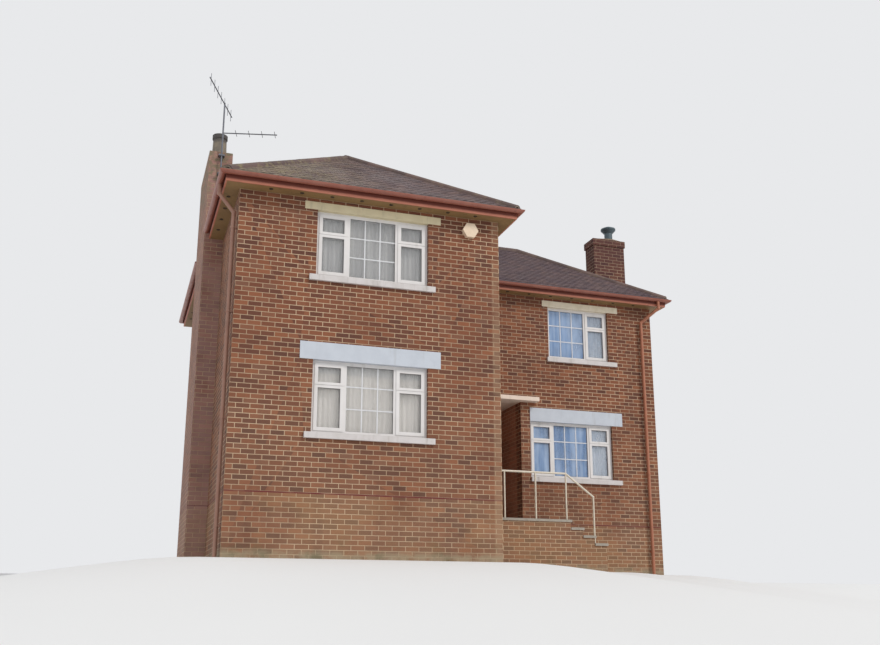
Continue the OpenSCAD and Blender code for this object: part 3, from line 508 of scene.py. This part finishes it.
# A closed skin between two ends, each with a row of outer and a row of inner points.
def closedSkin(shape, ends):
    (a, b), (c, d) = ends
    for i in range(len(a) - 1):
        shape.faces.new((a[i], a[i + 1], c[i + 1], c[i]))
        shape.faces.new((b[i + 1], b[i], d[i], d[i + 1]))
        shape.faces.new((a[i + 1], a[i], b[i], b[i + 1]))
        shape.faces.new((c[i], c[i + 1], d[i + 1], d[i]))
    shape.faces.new((a[0], c[0], d[0], b[0]))
    shape.faces.new((c[-1], a[-1], b[-1], d[-1]))


roofTiles = {"width": 0.165, "gauge": 0.100, "length": 0.150, "thickness": 0.012, "lap": 0.020,
             "camber": 0.003, "over": 0.03, "valley": 0.05, "seed": 5, "joint": 0.003, "lean": 0.018,
             "twist": 0.010}
# each slope: its left eaves corner seen from outside, the way its eaves run, their length, and how far its
# left and right side run in for each metre up the slope in plan
roofSlopes = {
    "front": ((left - eaveOut, front - eaveOut), (1, 0), blockRight - left + 2 * eaveOut, 1, -1),
    "blockSide": ((blockRight + eaveOut, front - eaveOut), (0, 1), wingFront - front, 1, 1),
    "wingFront": ((blockRight + eaveOut, wingFront - eaveOut), (1, 0), right - blockRight, -1, -1),
    "right": ((right + eaveOut, wingFront - eaveOut), (0, 1), back - wingFront + 2 * eaveOut, 1, -1),
    "rear": ((right + eaveOut, back + eaveOut), (-1, 0), right - left + 2 * eaveOut, 1, -1),
    "left": ((left - eaveOut, back + eaveOut), (0, -1), back - front + 2 * eaveOut, 1, -1),
}
gapEdges = ("gapStart", "gapEnd", "gapLow", "gapHigh")
# where a stack comes through: start and end along the eaves, and how far in it starts and ends
stackGaps = {
    "left": (back + eaveOut - leftStack[4], back + eaveOut - leftStack[1], -1.0,
             leftStack[3] - left + eaveOut),
    "right": (wingStack[1] - wingFront + eaveOut, wingStack[4] - wingFront + eaveOut,
              right + eaveOut - wingStack[3], right + eaveOut - wingStack[0]),
}


def tileTree():
    w, put, end = newTree("tileSlope", {"Int": "seed", "Float": (
        "eaves run slope leftRun rightRun width gauge length thickness lap camber over leftTrim rightTrim "
        "gapStart gapEnd gapLow gapHigh")})
    flat = 1 / w.maths("SQRT", 1 + put.slope * put.slope)
    rise = put.run / flat
    rows = (rise / put.gauge).floor() + 1
    start = (0 - put.run) * (put.leftRun < 0)
    stop = put.eaves + put.run * (put.rightRun > 0)
    columns = ((stop - start) / put.width).floor() + 3
    grid = w.node("GeometryNodeMeshGrid", {
        "Size X": (columns - 1) * put.width, "Size Y": (rows - 1) * put.gauge,
        "Vertices X": columns, "Vertices Y": rows})
    x, y, z = w.node("GeometryNodeInputPosition").split()
    row = (y / put.gauge + (rows - 1) / 2 + 0.25).floor()
    across = x + (columns - 2) * put.width / 2 + start + (row * 0.5).fract() * put.width
    upSlope = row * put.gauge - put.over * (row < 0.5)
    points = w.node("GeometryNodeSetPosition", {"Geometry": grid, "Position": w.vector(across, upSlope, 0)})
    x, y, z = w.node("GeometryNodeInputPosition").split()
    inward = y * flat
    keep = put.width * 0.45
    outside = (x + keep < put.leftRun * inward + put.leftTrim).high(
        x - keep > put.eaves + put.rightRun * inward - put.rightTrim)
    alongGap = (x > put.gapStart) * (x < put.gapEnd)
    inGap = alongGap * (inward > put.gapLow - 0.06) * (inward < put.gapHigh - 0.03)
    points = w.node("GeometryNodeDeleteGeometry", {
        "Geometry": points, "Selection": outside.high(inGap) > 0.5}, domain="POINT")
    block = w.node("GeometryNodeMeshCube", {
        "Size": w.vector(put.width - roofTiles["joint"], put.length, put.thickness), "Vertices X": 3})
    side, _, _ = w.node("GeometryNodeInputPosition").split()
    crown = (1 - (side.abs() * 2 / put.width)) * put.camber
    block = w.node("GeometryNodeSetPosition", {
        "Geometry": block, "Offset": w.vector(0, put.length / 2, crown + put.thickness / 2)})
    tilt = w.maths("ARCSINE", put.lap / put.length)
    lean = w.scatter(-roofTiles["lean"], roofTiles["lean"], put.seed + 3)
    twist = w.scatter(-roofTiles["twist"], roofTiles["twist"], put.seed)
    tiles = w.node("GeometryNodeInstanceOnPoints", {
        "Points": points, "Instance": block, "Rotation": w.vector(lean - tilt, lean * 0.6, twist)})
    tiles = w.node("GeometryNodeTranslateInstances", {
        "Instances": tiles, "Translation": w.vector(0, 0, put.lap - put.thickness),
        "Local Space": False})
    tiles = w.node("GeometryNodeRealizeInstances", {"Geometry": toned(w, tiles, put.seed + 1)})
    # tiles cut along hips, ridge and valley
    x, y, z = w.node("GeometryNodeInputPosition").split()
    y = y.low(rise)
    inward = y.high(0) * flat
    x = x.high(put.leftRun * inward + put.leftTrim)
    x = x.low(put.eaves + put.rightRun * inward - put.rightTrim)
    tiles = w.node("GeometryNodeSetPosition", {"Geometry": tiles, "Position": w.vector(x, y, z)})
    return closeTree(w, tiles, put, end)


# Fired clay, deeper in its fine grain.
def clay(w, colour, scale, deep):
    fine = w.noise(scale, 4, 0.7)
    return dull((fine.ramp(0.35, 0.9) * 0.3).mix(colour, deep), fine, 0.75, 0.2, 0.7, 0.002)


# Plain clay tiles, each with a tone of its own, mossy towards the left hip.
def tilePaint(w):
    x, y, z = w.place().split()
    colour = w.attribute("tone").stops(
        (0.0, (98, 80, 82)), (0.3, (114, 94, 94)), (0.6, (126, 102, 100)),
        (0.85, (136, 108, 100)), (1.0, (148, 118, 108)))
    patch = w.noise(0.9, 4, 0.6)
    wing = (x - blockRight).ramp(-1.0, 1.5)
    cool = patch.ramp(0.3, 0.8) * 0.3 + wing * 0.55
    colour = cool.mix(colour, (84, 68, 80))
    faded = (1 - wing) * patch.ramp(0.9, 0.1)
    colour = (faded * 0.8).mix(colour, (150, 140, 144))
    spots = w.noise(3, 6, 0.75).ramp(0.30, 0.75) * 0.5 + w.noise(14, 5, 0.7).ramp(0.35, 0.70) * 0.5
    moss = spots * (0.12 + x.ramp(-2.0, -4.6) * 0.85)
    colour = moss.mix(colour, (182, 170, 138))
    return clay(w, colour, 90, (78, 64, 62))


tileClay = finish("tileClay", tilePaint)


def makeTiles():
    tree = tileTree()
    kit = roofTiles
    slopes = []
    for name, (corner, along, eaves, leftRun, rightRun) in roofSlopes.items():
        mesh = grow(tree, tileClay, {
            **kit, **dict(zip(gapEdges, stackGaps.get(name, (0.0, -1.0, 0.0, 0.0)))),
            "eaves": eaves, "run": planRun, "slope": slope, "leftRun": float(leftRun),
            "rightRun": float(rightRun), "leftTrim": kit["valley"] * (leftRun < 0),
            "rightTrim": kit["valley"] * (rightRun > 0), "seed": kit["seed"] + len(slopes)})
        up = Vector((-along[1] * math.cos(pitch), along[0] * math.cos(pitch), math.sin(pitch)))
        across = Vector((*along, 0))
        slopes.append(turnTo(mesh, (across, up, across.cross(up)), Vector((*corner, eaveZ))))
    whole = piece("roofTiles", slopes, tileClay).data
    print("roof tiles:", len(whole.polygons) // 10)


makeTiles()

capTiles = {"length": 0.33, "width": 0.25, "thick": 0.016, "rise": 0.060, "ridgeDrop": 0.064,
            "hipDrop": 0.044, "sides": 8, "seed": 2, "hipStart": 0.06, "show": 0.985, "bedIn": 0.012,
            "bedThick": 0.03, "roll": 0.015}


# An arched tile lying along X from 0 to length, its crown at height rise over the line.
def capShape(length, width, rise, drop, thick):
    shape = bmesh.new()
    ends = []
    for x in (0.0, length):
        outer, inner = [], []
        for i in range(capTiles["sides"] + 1):
            a = math.pi * (1 - i / capTiles["sides"])
            across, high = math.cos(a) * width / 2, abs(math.sin(a)) ** 0.8
            outer.append(shape.verts.new((x, across, (rise + drop) * high - drop)))
            inner.append(shape.verts.new(
                (x, across * (1 - 2 * thick / width), (rise + drop - thick) * high - drop)))
        ends.append((outer, inner))
    closedSkin(shape, ends)
    return meshOf("capShape", shape)


def capTree():
    w, put, end = newTree("capRun", {"Float": "length tile", "Object": "shape", "Int": "seed"})
    count = (put.length / put.tile).floor() + 1
    shape = w.node("GeometryNodeObjectInfo", {"Object": put.shape}, "Geometry")
    roll = w.scatter(-capTiles["roll"], capTiles["roll"], put.seed)
    caps = rowOf(w, shape, count, w.vector(put.length / count, 0, 0),
                 turn=w.vector(roll * 2, roll * 0.5, roll))
    return closeTree(w, toned(w, caps, put.seed + 1), put, end)


def capPaint(w):
    x, y, z = w.place().split()
    colour = w.attribute("tone").mix((88, 72, 70), (114, 92, 86))
    moss = w.noise(7, 5, 0.7).ramp(0.46, 0.68) * (0.25 + x.ramp(-2.2, -4.4) * 0.6)
    colour = moss.mix(colour, (138, 126, 92))
    return clay(w, colour, 80, (66, 54, 52))


capClay = finish("capClay", capPaint)
bedMortar = wornFinish("bedMortar", (146, 132, 116), (120, 108, 96), (80, 74, 62), 0.9, scale=8, depth=0.002)


# Lays a mesh made along X on a line of the roof.
def alongLine(mesh, start, stop):
    way = (stop - start).normalized()
    side = Vector((0, 0, 1)).cross(way).normalized()
    return turnTo(mesh, (way, side, way.cross(side)), start)


def makeCapping():
    kit = capTiles
    reach = planRun - eaveOut
    crown = Vector((left + reach, front + reach, ridgeZ))
    elbow = Vector((left + reach, back - reach, ridgeZ))
    wingEnd = Vector((right - reach, back - reach, ridgeZ))
    west, east, south, north = left - eaveOut, right + eaveOut, front - eaveOut, back + eaveOut
    runs = [(crown, elbow), (elbow, wingEnd)]
    for x, y, head in ((west, south, crown), (blockRight + eaveOut, south, crown), (west, north, elbow),
                       (east, north, wingEnd), (east, wingFront - eaveOut, wingEnd)):
        foot = Vector((x, y, eaveZ))
        runs.append((foot + (head - foot).normalized() * kit["hipStart"], head))
    tree = capTree()
    caps, beds = [], []
    for number, (start, stop) in enumerate(runs):
        drop = kit["ridgeDrop"] if number < 2 else kit["hipDrop"]
        length = (stop - start).length
        mesh = capShape(kit["length"] * kit["show"], kit["width"], kit["rise"], drop, kit["thick"])
        shape = bpy.data.objects.new("capShape", mesh)
        row = grow(tree, capClay, {"length": length, "tile": kit["length"], "shape": shape,
                                   "seed": kit["seed"] + 7 * number})
        caps.append(alongLine(row, start, stop))
        bpy.data.objects.remove(shape)
        bed = capShape(length - kit["bedIn"], kit["width"] - kit["bedIn"], kit["rise"] - kit["bedIn"] / 2,
                       drop, kit["bedThick"])
        beds.append(alongLine(bed, start, stop))
    piece("hipCapping", caps, capClay, ("ridge_tiles",))
    piece("cappingMortar", beds, bedMortar, ("ridge_tiles",))


makeCapping()
print("roof tiled and capped")

# the lead's ends are shares of the valley's length
valleyLining = {"width": 0.20, "thickness": 0.003, "lift": 0.004, "ends": (0.004, 0.992)}


# Lead along the valley, folded over the two slopes that meet there.
def makeValley():
    kit = valleyLining
    foot = Vector((blockRight + eaveOut, wingFront - eaveOut, eaveZ))
    head = Vector((blockRight + eaveOut - planRun, wingFront - eaveOut + planRun, ridgeZ))
    way = head - foot
    half = kit["width"] / 2
    arms = (Vector((0, -half, 0)), Vector((0, 0, 0)), Vector((half, 0, 0)))
    shape = bmesh.new()
    ends = []
    for part in kit["ends"]:
        middle = foot + way * part
        ends.append([[shape.verts.new(middle + arm + Vector((0, 0, lift))) for arm in arms]
                     for lift in (kit["lift"], kit["lift"] - kit["thickness"])])
    closedSkin(shape, ends)
    piece("valleyLining", meshOf("valleyLining", shape), sheetLead)


makeValley()

# each light of a window: where it starts and ends, and if it opens
wide, narrow, frameIn = windowKit["wide"], windowKit["narrow"], windowKit["frame"]
lightIn = frameIn + windowKit["light"]
wideLights = ((frameIn, lightIn, True), (lightIn + frameIn, wide - lightIn - frameIn, False),
              (wide - lightIn, wide - frameIn, True))
narrowLights = ((frameIn, narrow - lightIn - frameIn, False), (narrow - lightIn, narrow - frameIn, True))
blockMid, wingMid = (left + blockRight) / 2, back - (blockRight - left) / 2
wideHalf, narrowHalf, rearMid = wide / 2, narrow / 2, right - (blockRight - left) / 2
# each window: its left end seen from outside, its turn, its lights and its heights
windowPlaces = {}
for level in ("lower", "upper"):
    for name, corner, turned, lights in (
            ("block", (blockMid - wideHalf, front), 0, wideLights),
            ("rear east", (rearMid + wideHalf, back), 180, wideLights),
            ("rear west", (blockMid + wideHalf, back), 180, wideLights),
            ("left", (left, wingMid + narrowHalf), -90, narrowLights),
            ("right", (right, wingMid - narrowHalf), 90, narrowLights)):
        windowPlaces[name + " " + level] = (corner, turned, lights, windowKit[level])
windowPlaces["wing lower"] = ((wingEdge - wide, wingFront), 0, wideLights, windowKit["lower"])
windowPlaces["wing upper"] = ((wingEdge - narrow, wingFront), 0, narrowLights, windowKit["upper"])


# A piece from the meshes that make gives for each window in the window's own frame.
def onWindows(name, material, make):
    meshes = []
    for corner, turned, lights, heights in windowPlaces.values():
        turn = Matrix.Translation((*corner, 0)) @ Matrix.Rotation(math.radians(turned), 4, "Z")
        for mesh in make(lights, heights):
            mesh.transform(turn)
            meshes.append(mesh)
    print(name, "parts:", len(meshes))
    piece(name, meshes, material)


# Every pane of a window: left, right, bottom and top of its glass.
def panesOf(lights, heights):
    bottom, top, sash = heights[0] + frameIn, heights[1] - frameIn, windowKit["sash"]
    split = top - windowKit["vent"]
    for x0, x1, opens in lights:
        if opens:
            yield x0 + sash, x1 - sash, bottom + sash, split - sash
            yield x0 + sash, x1 - sash, split + sash, top - sash
        else:
            yield x0, x1, bottom, top


glazingBars = {"width": 0.020, "depth": 0.010, "across": 3, "sunk": 0.004, "levelDepth": 0.0094}
barGrey = wornFinish("barGrey", (216, 216, 218), (204, 204, 206), (160, 156, 150), 0.4, scale=4)


def barTree():
    w, put, end = newTree("barRow", {"Int": "count", "Vector": "start step size"})
    bar = w.node("GeometryNodeMeshCube", {"Size": put.size})
    return closeTree(w, rowOf(w, bar, put.count, put.step, put.start), put, end)


# Upright and level bars in a window's fixed light.
def barsOf(lights, heights):
    kit = glazingBars
    x0, x1, _ = next(light for light in lights if not light[2])
    z0, z1 = heights[0] + frameIn, heights[1] - frameIn
    step, high = (x1 - x0) / kit["across"], z1 - windowKit["vent"]
    y = windowKit["glassFace"] - kit["depth"] / 2 + kit["sunk"]
    yield grow(bars, barGrey, {"count": kit["across"] - 1, "start": (x0 + step, y, (z0 + z1) / 2),
                               "step": (step, 0, 0), "size": (kit["width"], kit["depth"], z1 - z0)})
    yield grow(bars, barGrey, {"count": 2, "start": ((x0 + x1) / 2, y, high), "step": (0, 0, (z0 - high) / 2),
                               "size": (x1 - x0, kit["levelDepth"], kit["width"])})


bars = barTree()
onWindows("glazingBars", barGrey, barsOf)

paneGaskets = {"width": 0.007, "depth": 0.005}
gasketRubber = wornFinish("gasketRubber", (72, 72, 74), (92, 92, 92), (50, 50, 50), 0.6, scale=20)


# A ring of rubber round each pane, swept by a rectangle curve.
def gasketTree():
    w, put, end = newTree("gasketRing", {"Float": "wide high width depth", "Vector": "centre"})
    ring, strip = (w.node("GeometryNodeCurvePrimitiveQuadrilateral", {"Width": wide, "Height": high})
                   for wide, high in ((put.wide - put.width, put.high - put.width), (put.width, put.depth)))
    rubber = w.node("GeometryNodeCurveToMesh", {"Curve": ring, "Profile Curve": strip})
    rubber = w.node("GeometryNodeTransform", {
        "Geometry": rubber, "Translation": put.centre, "Rotation": (math.pi / 2, 0, 0)})
    return closeTree(w, rubber, put, end)


def gasketsOf(lights, heights):
    kit = paneGaskets
    for x0, x1, z0, z1 in panesOf(lights, heights):
        middle = ((x0 + x1) / 2, windowKit["glassFace"] - kit["depth"] / 2, (z0 + z1) / 2)
        yield grow(rings, gasketRubber, {**kit, "wide": x1 - x0, "high": z1 - z0, "centre": middle})


rings = gasketTree()
onWindows("paneGaskets", gasketRubber, gasketsOf)
print("windows glazed")

netCurtains = {"inside": 0.020, "bottom": 0.012, "fold": 0.085, "depth": 0.016, "behind": 0.200,
               "step": 0.008, "rows": 14, "seed": 11}


# Net cloth, its threads in a fine noise, with painted fold shade: paler downstairs, and bluish in the wing's
# wide light from a painted reflection of the sky.
def netPaint(w):
    x, y, z = w.place().split()
    threads = w.noise(400, 2, 0.5, w.vector(x, y, z * 0.2))
    fold = w.noise(9, 3, 0.5, w.vector(x, 0.0, z * 0.06))
    upper = z > storeyZ
    reflectedBlue = (x > blockRight) * (x < postX)
    # painted shade and light: dim and bright cloth mixed by the folds, and a painted reflection of the sky in
    # the wing's wide light
    dim = reflectedBlue.mix(upper.mix((222, 218, 214), (170, 168, 168)), (166, 176, 194))
    bright = reflectedBlue.mix(upper.mix((246, 242, 238), (212, 210, 208)), (198, 208, 226))
    return {"Base Color": fold.ramp(0.3, 0.7).mix(dim, bright), "Roughness": 0.85 + 0.1 * threads,
            "Alpha": 0.80 + 0.18 * threads.ramp(0.35, 0.65)}


netCloth = finish("netCloth", netPaint, {"Sheen Weight": 0.2})


def makeCurtain(name, x0, x1, z0, z1, wall, seed):
    kit = netCurtains
    rng = random.Random(seed)
    width = x1 - x0
    folds = max(4, round(width / kit["fold"]))
    phase = [rng.uniform(-0.5, 0.5) for _ in range(folds + 2)]
    size = [rng.uniform(0.55, 1.0) for _ in range(folds + 2)]
    columns, rows = int(width / kit["step"]), kit["rows"]
    points = []
    for j in range(rows + 1):
        v = j / rows
        for i in range(columns + 1):
            u = i / columns * folds
            k = int(u)
            part = u - k
            grown = size[k] * (1 - part) + size[k + 1] * part
            slip = phase[k] * (1 - part) + phase[k + 1] * part
            y = math.sin(2 * math.pi * u + slip * (1.2 - v)) * kit["depth"] * grown * (1.0 - 0.45 * v ** 3)
            points.append((x0 + width * i / columns, wall + kit["behind"] + y, z0 + (z1 - z0) * v))
    mesh = gridMesh(name, points, columns + 1)
    made = piece(name, mesh, netCloth, ("net_curtains",))


inside, bottom = netCurtains["inside"], netCurtains["bottom"]
for number, place in enumerate(("block lower", "block upper", "wing lower", "wing upper")):
    (x, y), _, lights, (low, high) = windowPlaces[place]
    makeCurtain("curtain" + place.title().replace(" ", ""), x + inside, x + lights[-1][1] + frameIn - inside,
                low + bottom, high - bottom, y, netCurtains["seed"] + number)
print("curtains hung")

stackClear = 0.1  # beside the left stack
# runs of the eaves: start at the corner of the walls, the way they run, the way out, and their length
eavesRuns = (
    ((left, front), (1, 0), (0, -1), blockRight - left),
    ((blockRight, front), (0, 1), (1, 0), wingFront - front - 2 * eaveOut),
    ((blockRight + 2 * eaveOut, wingFront), (1, 0), (0, -1), right - blockRight - 2 * eaveOut),
    ((right, wingFront), (0, 1), (1, 0), back - wingFront),
    ((right, back), (-1, 0), (0, 1), right - left),
    ((left, back), (0, -1), (-1, 0), back - leftStack[4] - stackClear),
    ((left, leftStack[1] - stackClear), (0, -1), (-1, 0), leftStack[1] - stackClear - front),
)
soffitVents = {"spacing": 0.53, "diameter": 0.070, "out": 0.150, "lip": 0.006}
ventDark = wornFinish("ventDark", (58, 48, 38), (70, 58, 46), (36, 30, 26), 0.7, scale=20)


# Evenly spaced copies of a shape along every run of the eaves.
def eavesTree():
    w, put, end = newTree("eavesRow", {
        "Vector": "start step", "Int": "count", "Float": "turn", "Object": "shape"})
    shape = w.node("GeometryNodeObjectInfo", {"Object": put.shape}, "Geometry")
    row = rowOf(w, shape, put.count, put.step, put.start, w.vector(0, 0, put.turn))
    return closeTree(w, row, put, end)


def rowUnderEaves(name, mesh, material, spacing, away, z):
    tree = eavesTree()
    shape = bpy.data.objects.new("eavesShape", mesh)
    rows = []
    for (x, y), along, out, length in eavesRuns:
        count = max(2, int(length / spacing))
        first = (length - (count - 1) * spacing) / 2
        rows.append(grow(tree, material, {
            "start": (x + along[0] * first + out[0] * away, y + along[1] * first + out[1] * away, z),
            "step": (along[0] * spacing, along[1] * spacing, 0), "count": count,
            "turn": math.atan2(along[1], along[0]), "shape": shape}))
    bpy.data.objects.remove(shape)
    piece(name, rows, material)


# A shape turned about Z from points of [radius, height], closed at both ends.
def lathe(points, sides):
    shape = bmesh.new()
    ways = [2 * math.pi * i / sides for i in range(sides)]
    rings = [[shape.verts.new((r * math.cos(a), r * math.sin(a), z)) for a in ways] for r, z in points]
    for low, high in zip(rings, rings[1:]):
        for i in range(sides):
            shape.faces.new((low[i], low[(i + 1) % sides], high[(i + 1) % sides], high[i]))
    shape.faces.new(list(reversed(rings[0])))
    shape.faces.new(rings[-1])
    return meshOf("lathe", shape)


def makeVents():
    kit = soffitVents
    r, lip = kit["diameter"] / 2, kit["lip"]
    mesh = lathe(((r * 0.55, 0.0), (r * 0.60, -lip * 0.5), (r * 0.85, -lip), (r, -lip * 0.6), (r, 0.001)), 16)
    rowUnderEaves("soffitVents", mesh, ventDark, kit["spacing"], kit["out"], wallTop)


makeVents()

gutterBrackets = {"spacing": 0.90, "width": 0.022, "thickness": 0.003, "radius": 0.058, "steps": 10,
                  "plate": 0.030, "bend": 148}
gutterEdges = edges("gutters")


# A strap hooked under the half-round gutter, with its plate on the fascia.
def makeBrackets():
    kit = gutterBrackets
    inner, outer, half = kit["radius"] + 0.0005, kit["radius"] + kit["thickness"], kit["width"] / 2
    line = [((-inner, kit["plate"]), (-inner + kit["thickness"], kit["plate"]))]
    for i in range(kit["steps"] + 1):
        a = math.radians(180 + kit["bend"] * i / kit["steps"])
        line.append(((inner * math.cos(a), inner * math.sin(a)), (outer * math.cos(a), outer * math.sin(a))))
    shape = bmesh.new()
    rows = []
    for near, far in line:
        rows.append([shape.verts.new((side * half, -point[0], point[1])) for point in (near, far)
                     for side in (-1, 1)])
    for a, b in zip(rows, rows[1:]):
        for i, j in ((0, 1), (1, 3), (3, 2), (2, 0)):
            shape.faces.new((a[i], a[j], b[j], b[i]))
    shape.faces.new((rows[0][0], rows[0][2], rows[0][3], rows[0][1]))
    shape.faces.new((rows[-1][1], rows[-1][3], rows[-1][2], rows[-1][0]))
    away = left - gutterEdges[0] - kit["radius"]
    rowUnderEaves("gutterBrackets", meshOf("bracket", shape), gutterRed, kit["spacing"],
                  away, gutterEdges[5])


makeBrackets()
print("eaves fitted out")

doorFittings = {"handleUp": 1.02, "handleIn": 0.050, "knob": 0.028, "plate": (0.045, 0.180),
                "letter": (0.26, 0.05), "flap": (0.22, 0.03), "letterUp": 0.92, "stand": 0.006,
                "proud": 0.004, "bite": 0.001, "edge": 0.002, "flapEdge": 0.0015}
doorBrass = wornFinish("doorBrass", (176, 150, 96), (150, 124, 78), (96, 78, 52), 0.3, scale=30, metal=0.9)


# A plate with bevelled edges round x and z, from near to far along Y.
def bevelPlate(shape, x, z, size, near, far, bevel):
    low = (x - size[0] / 2, near, z - size[1] / 2)
    high = (x + size[0] / 2, far, z + size[1] / 2)
    made = bmesh.ops.create_cube(shape, size=1.0)["verts"]
    for vert in made:
        vert.co = Vector([low[i] if vert.co[i] < 0 else high[i] for i in range(3)])
    rims = list({edge for vert in made for edge in vert.link_edges})
    bmesh.ops.bevel(shape, geom=rims, offset=bevel, segments=2, affect="EDGES")


# Puts vertices or faces in one order, because a bevel leaves them in any.
def inOrder(parts, where):
    rank = {part: i for i, part in enumerate(sorted(parts, key=where))}
    parts.sort(key=rank.get)


# Knob on its plate and a letter plate, on the outer face of the front door.
def makeDoorFittings():
    kit = doorFittings
    x0, face, z0, x1, _, _ = edges("front_door")
    x, z = x0 + kit["handleIn"], z0 + kit["handleUp"]
    near, far = face - kit["stand"], face + kit["bite"]
    shape = bmesh.new()
    bevelPlate(shape, x, z, kit["plate"], near, far, kit["edge"])
    knob = lathe(((0.010, 0.0), (0.010, 0.018), (kit["knob"] * 0.7, 0.024), (kit["knob"], 0.038),
                  (kit["knob"] * 0.92, 0.050), (kit["knob"] * 0.5, 0.058)), 24)
    knob.transform(Matrix.Translation((x, near + kit["bite"], z)) @ Matrix.Rotation(math.pi / 2, 4, "X"))
    shape.from_mesh(knob)
    x, z = (x0 + x1) / 2, z0 + kit["letterUp"]
    bevelPlate(shape, x, z, kit["letter"], near, far, kit["edge"])
    bevelPlate(shape, x, z, kit["flap"], near - kit["proud"], near + kit["bite"], kit["flapEdge"])
    inOrder(shape.verts, lambda vert: vert.co[:])
    inOrder(shape.faces, lambda side: side.calc_center_median()[:])
    piece("doorFittings", meshOf("doorFittings", shape), doorBrass)


makeDoorFittings()
print("door fitted")

# A pale floor that falls away in front, so that the low view of the photograph stays clear.
stageFloor = {"reach": 220.0, "near": 11, "cells": 62, "terrace": 0.3, "slope": 0.16, "ease": 0.5,
              "deepest": 4.0, "colour": (232, 231, 229), "patch": (229, 228, 226)}
porchBase = edges("porch_base")


# How far a point is from a box in plan, given as its low and high x and y.
def gap(x, y, box):
    return math.hypot(max(box[0] - x, 0, x - box[2]), max(box[1] - y, 0, y - box[3]))


# The floor's height: level under the house and behind it, and falling away from its front.
def groundZ(x, y):
    kit = stageFloor
    near = min(gap(x, y, (left - 0.35, front - 0.04, blockRight + 0.03, back + 0.04)),
               gap(x, y, (left - 0.35, wingFront - 0.04, right + 0.05, back + 0.04)),
               gap(x, y, (porchBase[0], porchBase[1], porchBase[3] + 0.1, porchBase[4])))
    far = max(0.0, near - kit["terrace"])
    fall = kit["slope"] * (math.sqrt(far * far + kit["ease"] ** 2) - kit["ease"])
    # 0 behind y = 3, and 1 at the front, later at the far sides
    t = min(1, max(0, (3.0 - y) / (5.0 + 0.4 * max(0, abs(x) - 8))))
    return -min(fall, kit["deepest"]) * t * t * (3 - 2 * t)


def makeStage():
    kit = stageFloor
    lines = []
    for i in range(-kit["cells"], kit["cells"] + 1):
        a = abs(i) / kit["cells"]
        lines.append(math.copysign(kit["near"] * a + (kit["reach"] - kit["near"]) * a ** 7, i))
    mesh = gridMesh("stageFloor", [(x, y, groundZ(x, y)) for y in lines for x in lines], len(lines))
    made = bpy.data.objects.new("stageFloor", mesh)
    scene.collection.objects.link(made)

    def paint(w):
        return {"Base Color": w.noise(0.3, 2, 0.5).mix(kit["colour"], kit["patch"])}
    mesh.materials.append(finish("stagePaint", paint, {"Roughness": 0.9}))


makeStage()

studio = {"fill": rgb(236, 240, 246), "fillStrength": 0.82, "back": rgb(232, 233, 235),
          "sun": 1.5, "sunAngle": 12, "sunColour": (1.0, 0.97, 0.92), "sunWay": (-0.55, 0.75, -0.80)}


def lightStudio():
    world = bpy.data.worlds.new("studio")
    scene.world = world
    world.use_nodes = True
    world.node_tree.nodes.clear()
    w = Wire(world.node_tree)
    rays = w.node("ShaderNodeLightPath").socket.node.outputs
    seen = Wire(w.tree, rays["Is Camera Ray"])
    seen = seen.high(Wire(w.tree, rays["Is Glossy Ray"])).high(Wire(w.tree, rays["Is Transmission Ray"]))
    fill = w.node("ShaderNodeBackground", {"Color": studio["fill"], "Strength": studio["fillStrength"]})
    plain = w.node("ShaderNodeBackground", {"Color": studio["back"], "Strength": 1.0})
    sky = w.node("ShaderNodeMixShader", {0: seen, 1: fill, 2: plain})
    out = w.tree.nodes.new("ShaderNodeOutputWorld")
    w.tree.links.new(sky.socket, out.inputs["Surface"])
    lamp = bpy.data.lights.new("keyLight", "SUN")
    lamp.energy = studio["sun"]
    lamp.angle = math.radians(studio["sunAngle"])
    lamp.color = studio["sunColour"]
    key = bpy.data.objects.new("keyLight", lamp)
    key.rotation_euler = Vector(studio["sunWay"]).to_track_quat("-Z", "Y").to_euler()
    scene.collection.objects.link(key)


lightStudio()

cameraKit = {"place": (-6.73, -19.90, -0.84), "lens": 40.0, "turn": 18.6, "tilt": 14.5, "shift": 0.045}
lens = bpy.data.cameras.new("photoView")
lens.lens = cameraKit["lens"]
lens.sensor_width = 36
lens.shift_y = cameraKit["shift"]
lens.clip_end = 900
camera = bpy.data.objects.new("photoView", lens)
camera.location = cameraKit["place"]
camera.rotation_euler = (math.radians(90 + cameraKit["tilt"]), 0, -math.radians(cameraKit["turn"]))
scene.collection.objects.link(camera)
scene.camera = camera
scene.view_settings.view_transform = "Standard"
print("floor, lights and camera set")

bpy.context.view_layer.update()
